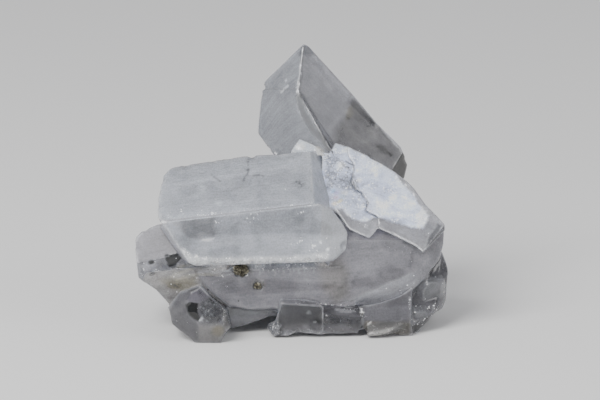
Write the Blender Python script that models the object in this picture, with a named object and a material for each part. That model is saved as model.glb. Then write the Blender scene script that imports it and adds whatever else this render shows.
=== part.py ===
"""A barite specimen with a little pyrite: blocky crystals grown into one cluster, about 63 mm wide.

The crystals are laid out in millimetres in the cluster's front plane: right, up, and depth, which grows away
from the front. The front plane leans back from upright by LEAN, and PLANE_ORIGIN is the place of its zero
point in the object's own frame. A crystal is an outline in that plane, drawn out in depth between two flat
ends, with further flat faces cut on it.
"""

import math
import random

import bmesh
import bpy
from mathutils import Matrix, Vector, noise

MM = 0.001
LEAN = math.radians(12)
PLANE_ORIGIN = Vector((-0.15, -9.3, -2.5))

HOLLOW_MIDDLE = -2.0  # where the hollow underside is deepest, along Y

NESTS = {  # middle of each pyrite nest, its size across, and how many grains it has
    "pyrite_nest": ((-10.2, 14.5, -5.3), 2.3, 14),
    "pyrite_small_nest": ((-6.8, 11.3, -5.5), 1.2, 7),
}
NEST_GAP = 0.3

# (start, end, number of chips, typical size of a chip), in the front plane
CHIPPED_EDGES = [
    ((-23.0, 35.0, 1.0), (-6.0, 37.6, 2.2), 6, 0.7),     # top of the large block
    ((-8.2, 37.4, 2.2), (-6.9, 37.5, 2.4), 2, 1.1),
    ((-19.0, 15.5, -8.9), (8.0, 16.3, -8.9), 16, 0.9),   # bottom of its lower part
    ((-4.4, 2.0, -8.2), (13.0, 1.8, -7.4), 10, 0.8),     # bottom of the base
    ((-5.6, 51.4, 13.4), (-6.2, 51.0, 13.4), 1, 1.0),
]

RIGHT = Vector((1, 0, 0))
UP = Vector((0, math.sin(LEAN), math.cos(LEAN)))
AWAY = Vector((0, math.cos(LEAN), -math.sin(LEAN)))


def place(right, up, depth):
    """The point in the object's frame, in millimetres."""
    return PLANE_ORIGIN + right * RIGHT + up * UP + depth * AWAY


def turned(start, end, turn):
    """(point, normal) of the face that holds the line from start to end, walked clockwise as seen from the
    front. turn is how far its outer side turns towards the front, in degrees: 0 is edge-on, 90 faces the
    front, and less than 0 faces away."""
    first, second = place(*start), place(*end)
    along = (second - first).normalized()
    outward = along.cross(AWAY).normalized()
    towards = along.cross(outward).normalized()
    if towards.dot(AWAY) > 0:
        towards.negate()
    turned_by = math.radians(turn)
    return first, math.cos(turned_by) * outward + math.sin(turned_by) * towards


def through(first, second, third):
    """(point, normal) of the face that holds three points, walked clockwise as seen from outside."""
    first, second, third = place(*first), place(*second), place(*third)
    return first, (third - first).cross(second - first).normalized()


def crystal(name, outline, near, far, *faces):
    """A crystal with this outline, walked clockwise as seen from the front, drawn out between two depths and
    cut by its other faces."""
    bm = bmesh.new()
    rim = [bm.verts.new(place(*point, near)) for point in outline]
    for start, end in zip(rim, rim[1:] + rim[:1]):
        bm.edges.new((start, end))
    bmesh.ops.contextual_create(bm, geom=bm.edges[:])
    drawn = bmesh.ops.extrude_face_region(bm, geom=bm.faces[:], use_keep_orig=True)
    ends = [piece for piece in drawn["geom"] if isinstance(piece, bmesh.types.BMVert)]
    bmesh.ops.translate(bm, verts=ends, vec=(far - near) * AWAY)
    for face in faces:
        cut_by(bm, *face)
    return finish(name, bm)


def cut_by(bm, point, normal):
    """Removes what lies outside the plane, and closes the cut with one flat face."""
    geometry = bm.verts[:] + bm.edges[:] + bm.faces[:]
    cut = bmesh.ops.bisect_plane(bm, geom=geometry, plane_co=point, plane_no=normal, clear_outer=True)
    rim = [piece for piece in cut["geom_cut"] if isinstance(piece, bmesh.types.BMEdge)]
    if rim:
        bmesh.ops.contextual_create(bm, geom=rim)


def finish(name, bm):
    """The bmesh, in millimetres, as an object in metres."""
    bmesh.ops.recalc_face_normals(bm, faces=bm.faces)
    bmesh.ops.scale(bm, vec=(MM, MM, MM), verts=bm.verts)
    mesh = bpy.data.meshes.new(name)
    bm.to_mesh(mesh)
    bm.free()
    return bpy.data.objects.new(name, mesh)


def roof_block():
    """The large block at the upper left: a sloping upper face, and a narrow face down its right end."""
    outline = [(-25.0, 22.4), (-26.5, 24.6), (-26.8, 27.6), (-25.8, 33.2), (-24.1, 34.9), (-16.5, 36.1), (-8.6, 37.3),
               (-3.8, 37.5), (5.1, 38.3), (6.9, 37.2), (7.5, 27.3), (7.4, 20.3)]
    return crystal(
        "roof_block", outline, -14, 8.3,
        turned((-24.4, 24.2, -9), (5.4, 27.6, -9), 48),
        turned((-24.4, 24.2, -8.85), (5.4, 27.6, -8.85), 89),
        turned((4.7, 38.1, 2.6), (4.3, 28.0, -8.6), 38),
        turned((5.85, 27.4, -8.85), (5.45, 16.8, -8.95), 58),
        turned((-24.0, 34.8, 1.2), (5.1, 38.5, 3.0), -42))


def step_block():
    """The lower part of the large block, which stands proud of the slab under it."""
    outline = [(-26.3, 23.1), (-24.4, 24.3), (5.4, 27.7), (7.7, 26.9), (10.2, 23.5), (11.1, 21.8),
               (10.8, 18.5), (8.2, 16.2), (-19.2, 15.3), (-21.5, 16.6), (-23.3, 18.8)]
    return crystal(
        "step_block", outline, -14, 5.2,
        turned((-24.4, 24.2, -9), (5.4, 27.6, -9), 89),
        turned((-24.4, 24.05, -9), (5.4, 27.45, -9), 48),
        turned((6.0, 27.4, -9), (5.6, 16.8, -9.1), 58),
        turned((8.0, 16.4, -9.0), (-19.4, 15.6, -9.0), 16),
        turned((-20.5, 15.4, -8.6), (-26.0, 23.6, -8), 30))


def left_block():
    """The block that looks out from under the large one at the left."""
    outline = [(-30.8, 15.4), (-31.3, 19.8), (-31.0, 21.0), (-29.8, 22.2), (-26.7, 23.5), (-14.1, 25.0),
               (-14.1, 12.2), (-29.4, 12.0), (-30.6, 13.0)]
    return crystal(
        "left_block", outline, -10, 6.6,
        turned((-30.5, 15.9, -7.2), (-15.0, 19.0, -7.2), 70),
        turned((-15.0, 19.0, -7.2), (-30.5, 15.9, -7.2), 64))


def stained_block():
    """The rough block under the left one."""
    outline = [(-29.8, 12.4), (-29.0, 14.0), (-10.6, 16.0), (-11.6, 3.3), (-22.0, 3.3), (-25.0, 7.6),
               (-25.4, 8.6), (-27.1, 10.5)]
    return crystal(
        "stained_block", outline, -9, 10,
        turned((-13.0, 12.4, -5.4), (-29.6, 12.2, -5.4), 55),
        turned((-11.0, 18.0, -4.6), (-12.5, 4.0, -4.6), 62))


def long_slab():
    """The left part of the long slab that the large block sits on."""
    outline = [(-18.6, 12.9), (-19.2, 16.0), (-18.0, 21.2), (12.6, 21.2), (12.6, 7.4), (7.6, 7.2),
               (-8.4, 6.4), (-12.4, 7.1), (-14.2, 8.5), (-16.0, 9.9), (-17.4, 11.6)]
    return crystal(
        "long_slab", outline, -8, 7.7,
        turned((12.6, 12.0, -5.0), (-15.0, 12.0, -5.9), 88),
        turned((-19.0, 14.4, -5.5), (12.0, 14.9, -5.5), 42))


def right_slab():
    """The broad right part of that slab, under the white plates."""
    outline = [(5.5, 9.0), (5.5, 23.0), (12.0, 23.5), (29.0, 23.0), (30.3, 22.2), (30.2, 19.7),
               (29.5, 16.6), (28.0, 14.8), (27.4, 13.3), (23.4, 9.4), (20.5, 7.6), (17.0, 6.2),
               (13.0, 5.9), (8.0, 6.7)]
    return crystal(
        "right_slab", outline, -8, 9.4,
        turned((26.0, 15.0, -5.6), (6.0, 15.0, -5.1), 88),
        turned((25.4, 14.6, -5.6), (13.0, 9.2, -5.1), 60),
        turned((28.2, 22.0, -5.7), (25.4, 14.6, -5.6), 56),
        turned((6.2, 9.0, -5.2), (9.0, 23.0, -5.2), 48),
        turned((5.0, 20.3, -5.2), (30.0, 20.7, -5.6), 42))


def white_plate():
    """The larger plate at the right, with the bright face and a stepped left edge."""
    outline = [(11.2, 37.3), (10.9, 39.3), (14.9, 37.4), (18.2, 35.5), (20.6, 34.0), (23.1, 32.0),
               (24.4, 30.7), (26.6, 27.5), (30.4, 23.6), (30.5, 22.4), (26.1, 17.9), (24.5, 19.2),
               (20.5, 21.2), (17.1, 22.8), (17.0, 24.9), (14.6, 26.4), (15.2, 27.9), (14.0, 29.8),
               (12.6, 30.6), (12.0, 32.9), (12.3, 35.4)]
    return crystal(
        "white_plate", outline, -14, 12,
        through((8.0, 31.0, -1.0), (8.0, 39.0, 3.0), (24.0, 31.0, -1.8)),
        turned((30.0, 23.2, -6.2), (26.0, 18.4, -8.6), 34),
        through((8.0, 31.0, 4.6), (24.0, 31.0, 3.8), (8.0, 39.0, 8.6)))


def under_plate():
    """The plate that the larger one overlaps, with a free corner below it."""
    outline = [(6.0, 28.0), (6.0, 38.0), (7.6, 37.8), (8.7, 39.9), (11.4, 39.1), (19.0, 35.0), (19.0, 26.0),
               (17.2, 22.9), (16.6, 22.1), (15.4, 20.7), (11.2, 22.6), (9.2, 25.5)]
    return crystal(
        "under_plate", outline, -14, 12,
        through((8.0, 31.0, -0.6), (8.0, 39.0, 3.4), (24.0, 31.0, -1.3)),
        through((8.0, 31.0, 5.1), (24.0, 31.0, 4.4), (8.0, 39.0, 9.1)))


def wedge_bar():
    """The thick bar at the top, which runs down to the right behind the plates."""
    outline = [(-4.0, 40.0), (-5.8, 51.6), (-5.5, 52.5), (2.3, 60.0), (3.1, 59.8), (12.5, 49.5),
               (17.2, 43.9), (21.9, 39.2), (23.5, 35.9), (22.8, 33.0), (16.0, 22.0), (6.0, 22.0)]
    return crystal(
        "wedge_bar", outline, -7, 19.6,
        through((2.2, 59.2, 12.0), (1.2, 50.4, 10.2), (-6.4, 46.0, 13.4)),
        through((2.2, 59.2, 12.0), (8.2, 39.6, 9.2), (1.2, 50.4, 10.2)),
        turned((22.2, 37.6, 11.0), (19.6, 32.6, 10.2), 32),
        turned((2.6, 59.9, 17.2), (21.9, 39.2, 16.2), -42),
        turned((17.0, 40.0, 18.2), (-5.0, 40.0, 19.6), -84))


def bar_cap():
    """The lower part of the bar's end, which stands out as a step along the bar's long face."""
    outline = [(-3.8, 37.6), (-7.0, 42.0), (-6.1, 51.0), (1.0, 50.8), (9.4, 38.8), (8.0, 36.8), (2.0, 33.0)]
    return crystal(
        "bar_cap", outline, -8, 17.8,
        through((2.2, 59.2, 11.96), (1.2, 50.4, 10.16), (-6.4, 46.0, 13.36)),
        through((1.2, 50.4, 9.9), (8.6, 39.6, 9.1), (7.4, 39.0, 3.0)))


def white_chip():
    """The small bright fragment caught between the bar and the large block."""
    outline = [(-0.2, 37.4), (-0.2, 38.3), (1.5, 40.7), (3.9, 39.7), (5.1, 39.0), (6.8, 37.3)]
    return crystal(
        "white_chip", outline, 1, 12,
        through((0.0, 38.0, 3.2), (2.0, 41.0, 4.4), (6.6, 37.0, 2.2)))


def stub():
    """The short crystal at the lower left that points at the front."""
    outline = [(-24.7, 7.0), (-22.2, 10.2), (-18.1, 11.6), (-16.3, 9.6), (-14.6, 8.2), (-12.8, 6.8),
               (-11.9, 3.2), (-13.3, 1.4), (-14.0, 0.0), (-18.0, -1.0), (-20.4, 0.9), (-22.2, 2.3),
               (-23.8, 3.7)]
    return crystal(
        "stub", outline, -20, 5.7,
        turned((-13.0, 8.0, -14.2), (-22.0, 8.0, -14.2), 88),
        turned((-13.5, 3.9, -14.2), (-18.8, 3.9, -14.2), 58),
        turned((-18.8, 3.9, -14.2), (-20.7, 6.2, -14.2), 44),
        turned((-20.7, 6.2, -14.2), (-21.1, 8.6, -14.2), 38),
        turned((-21.1, 8.6, -14.2), (-20.1, 10.3, -14.2), 30),
        turned((-20.1, 10.3, -14.2), (-18.1, 11.4, -14.2), 22),
        turned((-13.4, 6.8, -14.2), (-13.5, 3.9, -14.2), 28))


def recess_block():
    """The small dark block set back between the stub and the base block."""
    outline = [(-13.4, 6.0), (-12.0, 9.0), (-2.0, 9.0), (-2.0, 6.0), (-4.8, 4.9), (-7.4, 3.9), (-9.4, 3.2),
               (-12.2, 2.6), (-14.2, 2.9)]
    return crystal(
        "recess_block", outline, -6, 8.6,
        turned((-4.0, 5.0, -3.8), (-12.0, 3.4, -3.8), 74))


def base_block():
    """The dark block at the middle of the base."""
    outline = [(-4.8, 2.2), (-3.2, 4.8), (-2.8, 6.0), (-2.2, 8.7), (1.6, 8.6), (5.2, 8.0), (6.2, 7.2),
               (6.2, 1.6), (5.6, 1.5), (2.6, 1.8), (1.0, 2.1), (-1.0, 1.2), (-3.4, 1.6)]
    return crystal(
        "base_block", outline, -10, 7.2,
        turned((6.0, 8.0, -8.2), (-3.0, 8.0, -8.2), 87),
        turned((-2.6, 7.9, -8.2), (5.2, 7.4, -8.2), 40),
        turned((-3.0, 3.0, -8.2), (-2.2, 8.6, -8.2), 30))


def base_step():
    """The lower block against its right side."""
    outline = [(5.0, 1.8), (5.0, 9.2), (14.3, 9.2), (14.2, 2.4), (13.2, 2.3), (13.1, 1.8), (9.6, 1.7)]
    return crystal(
        "base_step", outline, -9, 6.2,
        turned((13.0, 5.0, -7.3), (5.0, 5.0, -7.6), 85),
        turned((5.0, 6.2, -7.5), (13.0, 5.4, -7.2), 35))


def right_base():
    """The slab at the lower right."""
    outline = [(13.4, 2.8), (13.4, 7.3), (17.1, 7.8), (21.3, 9.2), (24.2, 11.0), (23.9, 4.1), (24.4, 1.3),
               (22.4, 0.8), (20.5, 1.4), (18.6, 1.1), (17.0, 1.4), (14.6, 2.5)]
    return crystal(
        "right_base", outline, -9, 10.3,
        turned((15.0, 4.0, -6.9), (23.8, 4.2, -6.9), 68),
        turned((23.8, 4.1, -7.0), (15.0, 3.9, -7.0), 74))


def right_rear_block():
    """The rough block at the right rear, which reaches furthest right."""
    outline = [(22.6, 1.5), (22.6, 19.6), (29.0, 19.8), (30.2, 17.7), (31.1, 15.4), (31.6, 13.0),
               (31.5, 10.6), (30.8, 8.2), (29.5, 6.6), (27.9, 4.7), (26.0, 2.6), (24.4, 1.2)]
    return crystal(
        "right_rear_block", outline, -9, 13.2,
        through((24.0, 12.0, -2.4), (30.5, 14.0, 0.2), (25.5, 4.0, -4.8)),
        turned((28.8, 17.0, -0.6), (28.0, 4.0, -4.2), 38),
        turned((31.2, 13.0, 4.0), (30.0, 8.0, 4.0), -12),
        turned((28.0, 6.4, -4.0), (24.0, 3.4, -5.2), 48))


def rear_block():
    """The large block behind, under the bar."""
    outline = [(-21.0, 10.0), (-22.5, 29.0), (-20.0, 32.0), (4.0, 34.0), (12.2, 30.0), (12.2, 8.0),
               (-18.0, 6.0)]
    return crystal(
        "rear_block", outline, 2.4, 24,
        turned((8.0, 20.0, 19.0), (-20.0, 20.0, 15.0), -84),
        turned((-22.0, 30.0, 6.0), (13.0, 34.0, 8.0), -46),
        turned((-20.0, 8.0, 13.0), (-22.0, 28.0, 10.0), -35),
        turned((10.0, 9.0, 18.0), (-14.0, 8.0, 16.0), -40))


def rear_slab():
    """The slab at the right, behind the plates."""
    outline = [(8.0, 7.0), (6.0, 24.0), (12.0, 33.0), (22.0, 29.0), (27.5, 24.0), (29.0, 14.0), (24.0, 6.0)]
    return crystal(
        "rear_slab", outline, 4.1, 24.3,
        turned((26.0, 16.0, 14.0), (8.0, 18.0, 18.5), -80),
        turned((12.0, 33.0, 10.0), (27.0, 25.0, 8.0), -42),
        turned((29.0, 20.0, 9.0), (24.0, 7.0, 11.0), -36))


def rear_shoulder():
    """The lower block at the left of the back."""
    outline = [(-27.5, 12.0), (-28.5, 17.0), (-25.0, 21.5), (-12.0, 22.0), (-9.0, 14.0), (-12.0, 5.0),
               (-22.0, 5.0)]
    return crystal(
        "rear_shoulder", outline, 1.3, 20,
        turned((-12.0, 14.0, 17.5), (-26.0, 15.0, 11.5), -78),
        turned((-25.0, 21.0, 9.0), (-12.0, 22.0, 13.0), -44))


def rear_foot():
    """The broken block that the cluster rests on at the back."""
    outline = [(-11.8, 2.4), (-13.7, 12.0), (-4.0, 15.1), (9.0, 15.3), (19.0, 11.2), (17.2, 2.4)]
    return crystal(
        "rear_foot", outline, 1.9, 22,
        turned((14.0, 9.0, 18.5), (-10.0, 9.0, 20.5), -82),
        turned((-12.0, 13.0, 16.0), (16.0, 14.0, 15.0), -38))


def rubble(name, centre, radii, seed, breaks=26):
    """A broken mass round a place in the front plane, bounded by flat breaks that face every way."""
    rng = random.Random(seed)
    bm = bmesh.new()
    bmesh.ops.create_cube(bm, size=2.4)
    for _ in range(breaks):
        outward = Vector([rng.gauss(0, 1) for _ in range(3)]).normalized()
        cut_by(bm, outward * rng.uniform(0.72, 1.0), outward)
    for vert in bm.verts:
        vert.co = place(*(middle + radius * along for middle, radius, along in zip(centre, radii, vert.co)))
    return finish(name, bm)


def broken_masses():
    """The broken masses: along the base, on the stub's underside and over the block at the right rear."""
    return [rubble("stub_mass", (-17.6, 5.0, -8.6), (4.6, 4.0, 4.2), 1),
            rubble("base_mass", (-3.3, 3.0, -6.6), (1.9, 2.0, 2.4), 2),
            rubble("right_mass", (27.1, 10.6, 1.6), (4.1, 5.6, 5.4), 3),
            rubble("right_low_mass", (25.0, 5.8, -1.4), (2.6, 3.2, 4.2), 4),
            rubble("front_mass", (18.8, 3.0, -4.8), (4.8, 2.3, 3.2), 5),
            rubble("rear_mass", (20.0, 10.0, 12.0), (8.4, 5.6, 6.4), 6)]


def chips():
    """The chips knocked from the edges, as one cutter."""
    rng = random.Random(7)
    bm = bmesh.new()
    for start, end, count, size in CHIPPED_EDGES:
        first, last = place(*start), place(*end)
        for number in range(count):
            middle = first.lerp(last, (number + rng.uniform(0.15, 0.85)) / count)
            spin = Matrix.Rotation(rng.uniform(0, math.tau), 4, Vector([rng.gauss(0, 1) for _ in range(3)]))
            stretch = Matrix.Diagonal([size * rng.uniform(0.5, 1.5) for _ in range(3)] + [1])
            bmesh.ops.create_cube(bm, size=1, matrix=Matrix.Translation(middle) @ spin @ stretch)
    return finish("chips", bm)


def underside():
    """The cutter for the broken underside: it rises in the middle and leaves the rim and feet standing."""
    bm = bmesh.new()
    bmesh.ops.create_grid(bm, x_segments=34, y_segments=22, size=1)
    for vert in bm.verts:
        vert.co.x *= 36
        vert.co.y *= 26
        across, along = vert.co.x / 25, (vert.co.y - HOLLOW_MIDDLE) / 11.5
        hollow = max(0.0, 1 - across ** 2 - along ** 2)
        broken = noise.noise(vert.co * 0.16 + Vector((3, 8, 1))) + 0.5 * noise.noise(vert.co * 0.45)
        vert.co.z = 4.5 * hollow * (0.7 + 0.9 * broken) - 0.35
    walls = bmesh.ops.extrude_face_region(bm, geom=bm.faces[:], use_keep_orig=True)
    for piece in walls["geom"]:
        if isinstance(piece, bmesh.types.BMVert):
            piece.co.z = -12
    return finish("underside", bm)


def floor_cutter():
    """What lies below the surface that the cluster stands on."""
    bm = bmesh.new()
    bmesh.ops.create_cube(bm, size=90, matrix=Matrix.Translation((0, 0, -45)))
    return finish("floor_cutter", bm)


def grains(name, label, first=0, last=None, growth=0.0):
    """The little cubes of a pyrite nest from first to last, all growth wider on every side."""
    centre, across, count = NESTS[name]
    bm = bmesh.new()
    for number in range(first, last or count):
        rng = random.Random(f"{name} {number}")
        reach = across * 0.36 * math.sqrt(number / count)
        angle = number * 2.4
        middle = place(*centre) + reach * (math.cos(angle) * RIGHT * 1.15 + math.sin(angle) * UP * 0.8)
        middle += AWAY * rng.uniform(-0.15, 0.15) * across
        spin = Matrix.Rotation(rng.uniform(0, math.tau), 4, Vector([rng.gauss(0, 1) for _ in range(3)]))
        side = across * rng.uniform(0.3, 0.45) + 2 * growth
        bmesh.ops.create_cube(bm, size=side, matrix=Matrix.Translation(middle) @ spin)
    return finish(label, bm)


def material(name, colour, roughness, metallic=0.0, transmission=0.0):
    made = bpy.data.materials.new(name)
    made.use_nodes = True
    shader = made.node_tree.nodes["Principled BSDF"]
    shader.inputs["Base Color"].default_value = (*colour, 1)
    shader.inputs["Roughness"].default_value = roughness
    shader.inputs["Metallic"].default_value = metallic
    shader.inputs["Transmission Weight"].default_value = transmission
    return made


def boolean(obj, operation, collection):
    """Joins every object of the collection to obj, or cuts them all from it."""
    modifier = obj.modifiers.new(collection.name, "BOOLEAN")
    modifier.operation = operation
    modifier.operand_type = "COLLECTION"
    modifier.collection = collection
    modifier.solver = "EXACT"
    modifier.use_self = True


def helpers(name, objects, scene):
    """A collection of the shapes that a Boolean reads, kept out of the model."""
    collection = bpy.data.collections.new(name)
    scene.collection.children.link(collection)
    for obj in objects:
        collection.objects.link(obj)
        obj.hide_render = True
        obj.display_type = "WIRE"
    return collection


def main():
    scene = bpy.context.scene
    for obj in list(bpy.data.objects):
        bpy.data.objects.remove(obj)
    specimen = bpy.data.collections.new("barite_with_pyrite")
    scene.collection.children.link(specimen)

    crystals = [roof_block, step_block, left_block, stained_block, long_slab, right_slab, white_plate,
                under_plate, wedge_bar, bar_cap, white_chip, stub, recess_block, base_block, base_step,
                right_base, right_rear_block, rear_slab, rear_shoulder, rear_foot]
    barite = rear_block()
    barite.name = barite.data.name = "barite_cluster"
    specimen.objects.link(barite)
    grown = helpers("crystals", [make() for make in crystals] + broken_masses(), scene)
    pockets = [grains(name, f"{name}_pocket", growth=NEST_GAP) for name in NESTS]
    hollows = helpers("hollows", [chips(), underside(), floor_cutter()] + pockets, scene)
    boolean(barite, "UNION", grown)
    boolean(barite, "DIFFERENCE", hollows)
    barite.data.materials.append(material("barite", (0.72, 0.74, 0.76), 0.25, transmission=0.3))

    pyrite = material("pyrite", (0.36, 0.31, 0.18), 0.4, metallic=1.0)
    for name in NESTS:
        nest = grains(name, name, last=1)
        specimen.objects.link(nest)
        boolean(nest, "UNION", helpers(f"{name}_grains", [grains(name, f"{name}_rest", first=1)], scene))
        nest.data.materials.append(pyrite)


main()
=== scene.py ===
"""The look of the barite with pyrite: the CAD cluster's surface made fine, chipped, clouded and cracked.

Places are in millimetres in the cluster's front plane, as in part.py: right, up, and depth away from the
front. Marks on the crystals are given right and up alone: a mark lies on the surface behind that place of the
front plane, as seen from the front. All noise and chance is seeded, so each run makes the same scene.
"""

from collections import namedtuple
import math
import random

import bmesh
import bpy
import numpy as np
from mathutils import Euler, Matrix, Vector, kdtree, noise
from mathutils.bvhtree import BVHTree


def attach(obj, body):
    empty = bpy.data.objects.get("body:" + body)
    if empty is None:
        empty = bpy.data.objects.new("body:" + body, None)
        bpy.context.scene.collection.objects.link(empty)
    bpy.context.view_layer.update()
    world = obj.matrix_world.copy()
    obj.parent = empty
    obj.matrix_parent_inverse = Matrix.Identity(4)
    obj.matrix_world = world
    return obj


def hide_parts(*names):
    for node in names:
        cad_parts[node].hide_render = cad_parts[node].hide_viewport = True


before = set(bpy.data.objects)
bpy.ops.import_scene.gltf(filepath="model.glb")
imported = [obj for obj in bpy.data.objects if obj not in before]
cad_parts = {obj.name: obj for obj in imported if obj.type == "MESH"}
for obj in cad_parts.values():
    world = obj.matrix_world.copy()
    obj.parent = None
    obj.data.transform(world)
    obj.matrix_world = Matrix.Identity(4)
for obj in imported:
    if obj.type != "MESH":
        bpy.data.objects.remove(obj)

MM = 0.001
LEAN = math.radians(12)
PLANE_ORIGIN = Vector((-0.15, -9.3, -2.5))
RIGHT = Vector((1, 0, 0))
UP = Vector((0, math.sin(LEAN), math.cos(LEAN)))
AWAY = Vector((0, math.cos(LEAN), -math.sin(LEAN)))

VIEW_MIDDLE = (1.6, 28.4)   # the place of the front plane that the camera looks at
VIEW_DISTANCE = 1000.0      # from the camera to it
SENSOR, LENS = 36, 300      # the camera's


def place(right, up, depth=0.0):
    """The point of the frame, in millimetres."""
    return PLANE_ORIGIN + right * RIGHT + up * UP + depth * AWAY


def turned(start, end, turn):
    """(point, normal) of the face that holds the line from start to end, as part.py turns it."""
    first, second = place(*start), place(*end)
    along = (second - first).normalized()
    outward = along.cross(AWAY).normalized()
    towards = along.cross(outward).normalized()
    if towards.dot(AWAY) > 0:
        towards.negate()
    turned_by = math.radians(turn)
    return first, math.cos(turned_by) * outward + math.sin(turned_by) * towards


def through(first, second, third):
    """(point, normal) of the face that holds three points, walked clockwise as seen from outside."""
    first, second, third = place(*first), place(*second), place(*third)
    return first, (third - first).cross(second - first).normalized()


def face(first, second, third):
    """(point, normal) of the face through three points, or through a line where the third is its turn."""
    return (through if isinstance(third, tuple) else turned)(first, second, third)


# ---------- The faces that show from the front ----------

WARM, COOL, PLAIN, PURPLE = (1.0, 0.97, 0.95), (0.93, 0.97, 1.05), (0.98, 0.985, 1.055), (1.0, 0.975, 1.055)

# How a face looks: how light it is (set face by face, so that besides its own tone it paints in light and
# shade:
# lighter where a face lies in shadow, as slab_top under the step, and darker where the dark shows through the
# clear crystal), how clear and how rough, the angle and strength of its streaks, its clouds, and how many dark
# and pale specks it has (the pale ones are partly painted glints)
Look = namedtuple("Look", "face light tint clear rough streak_angle streaks clouds dark pale")

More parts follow.
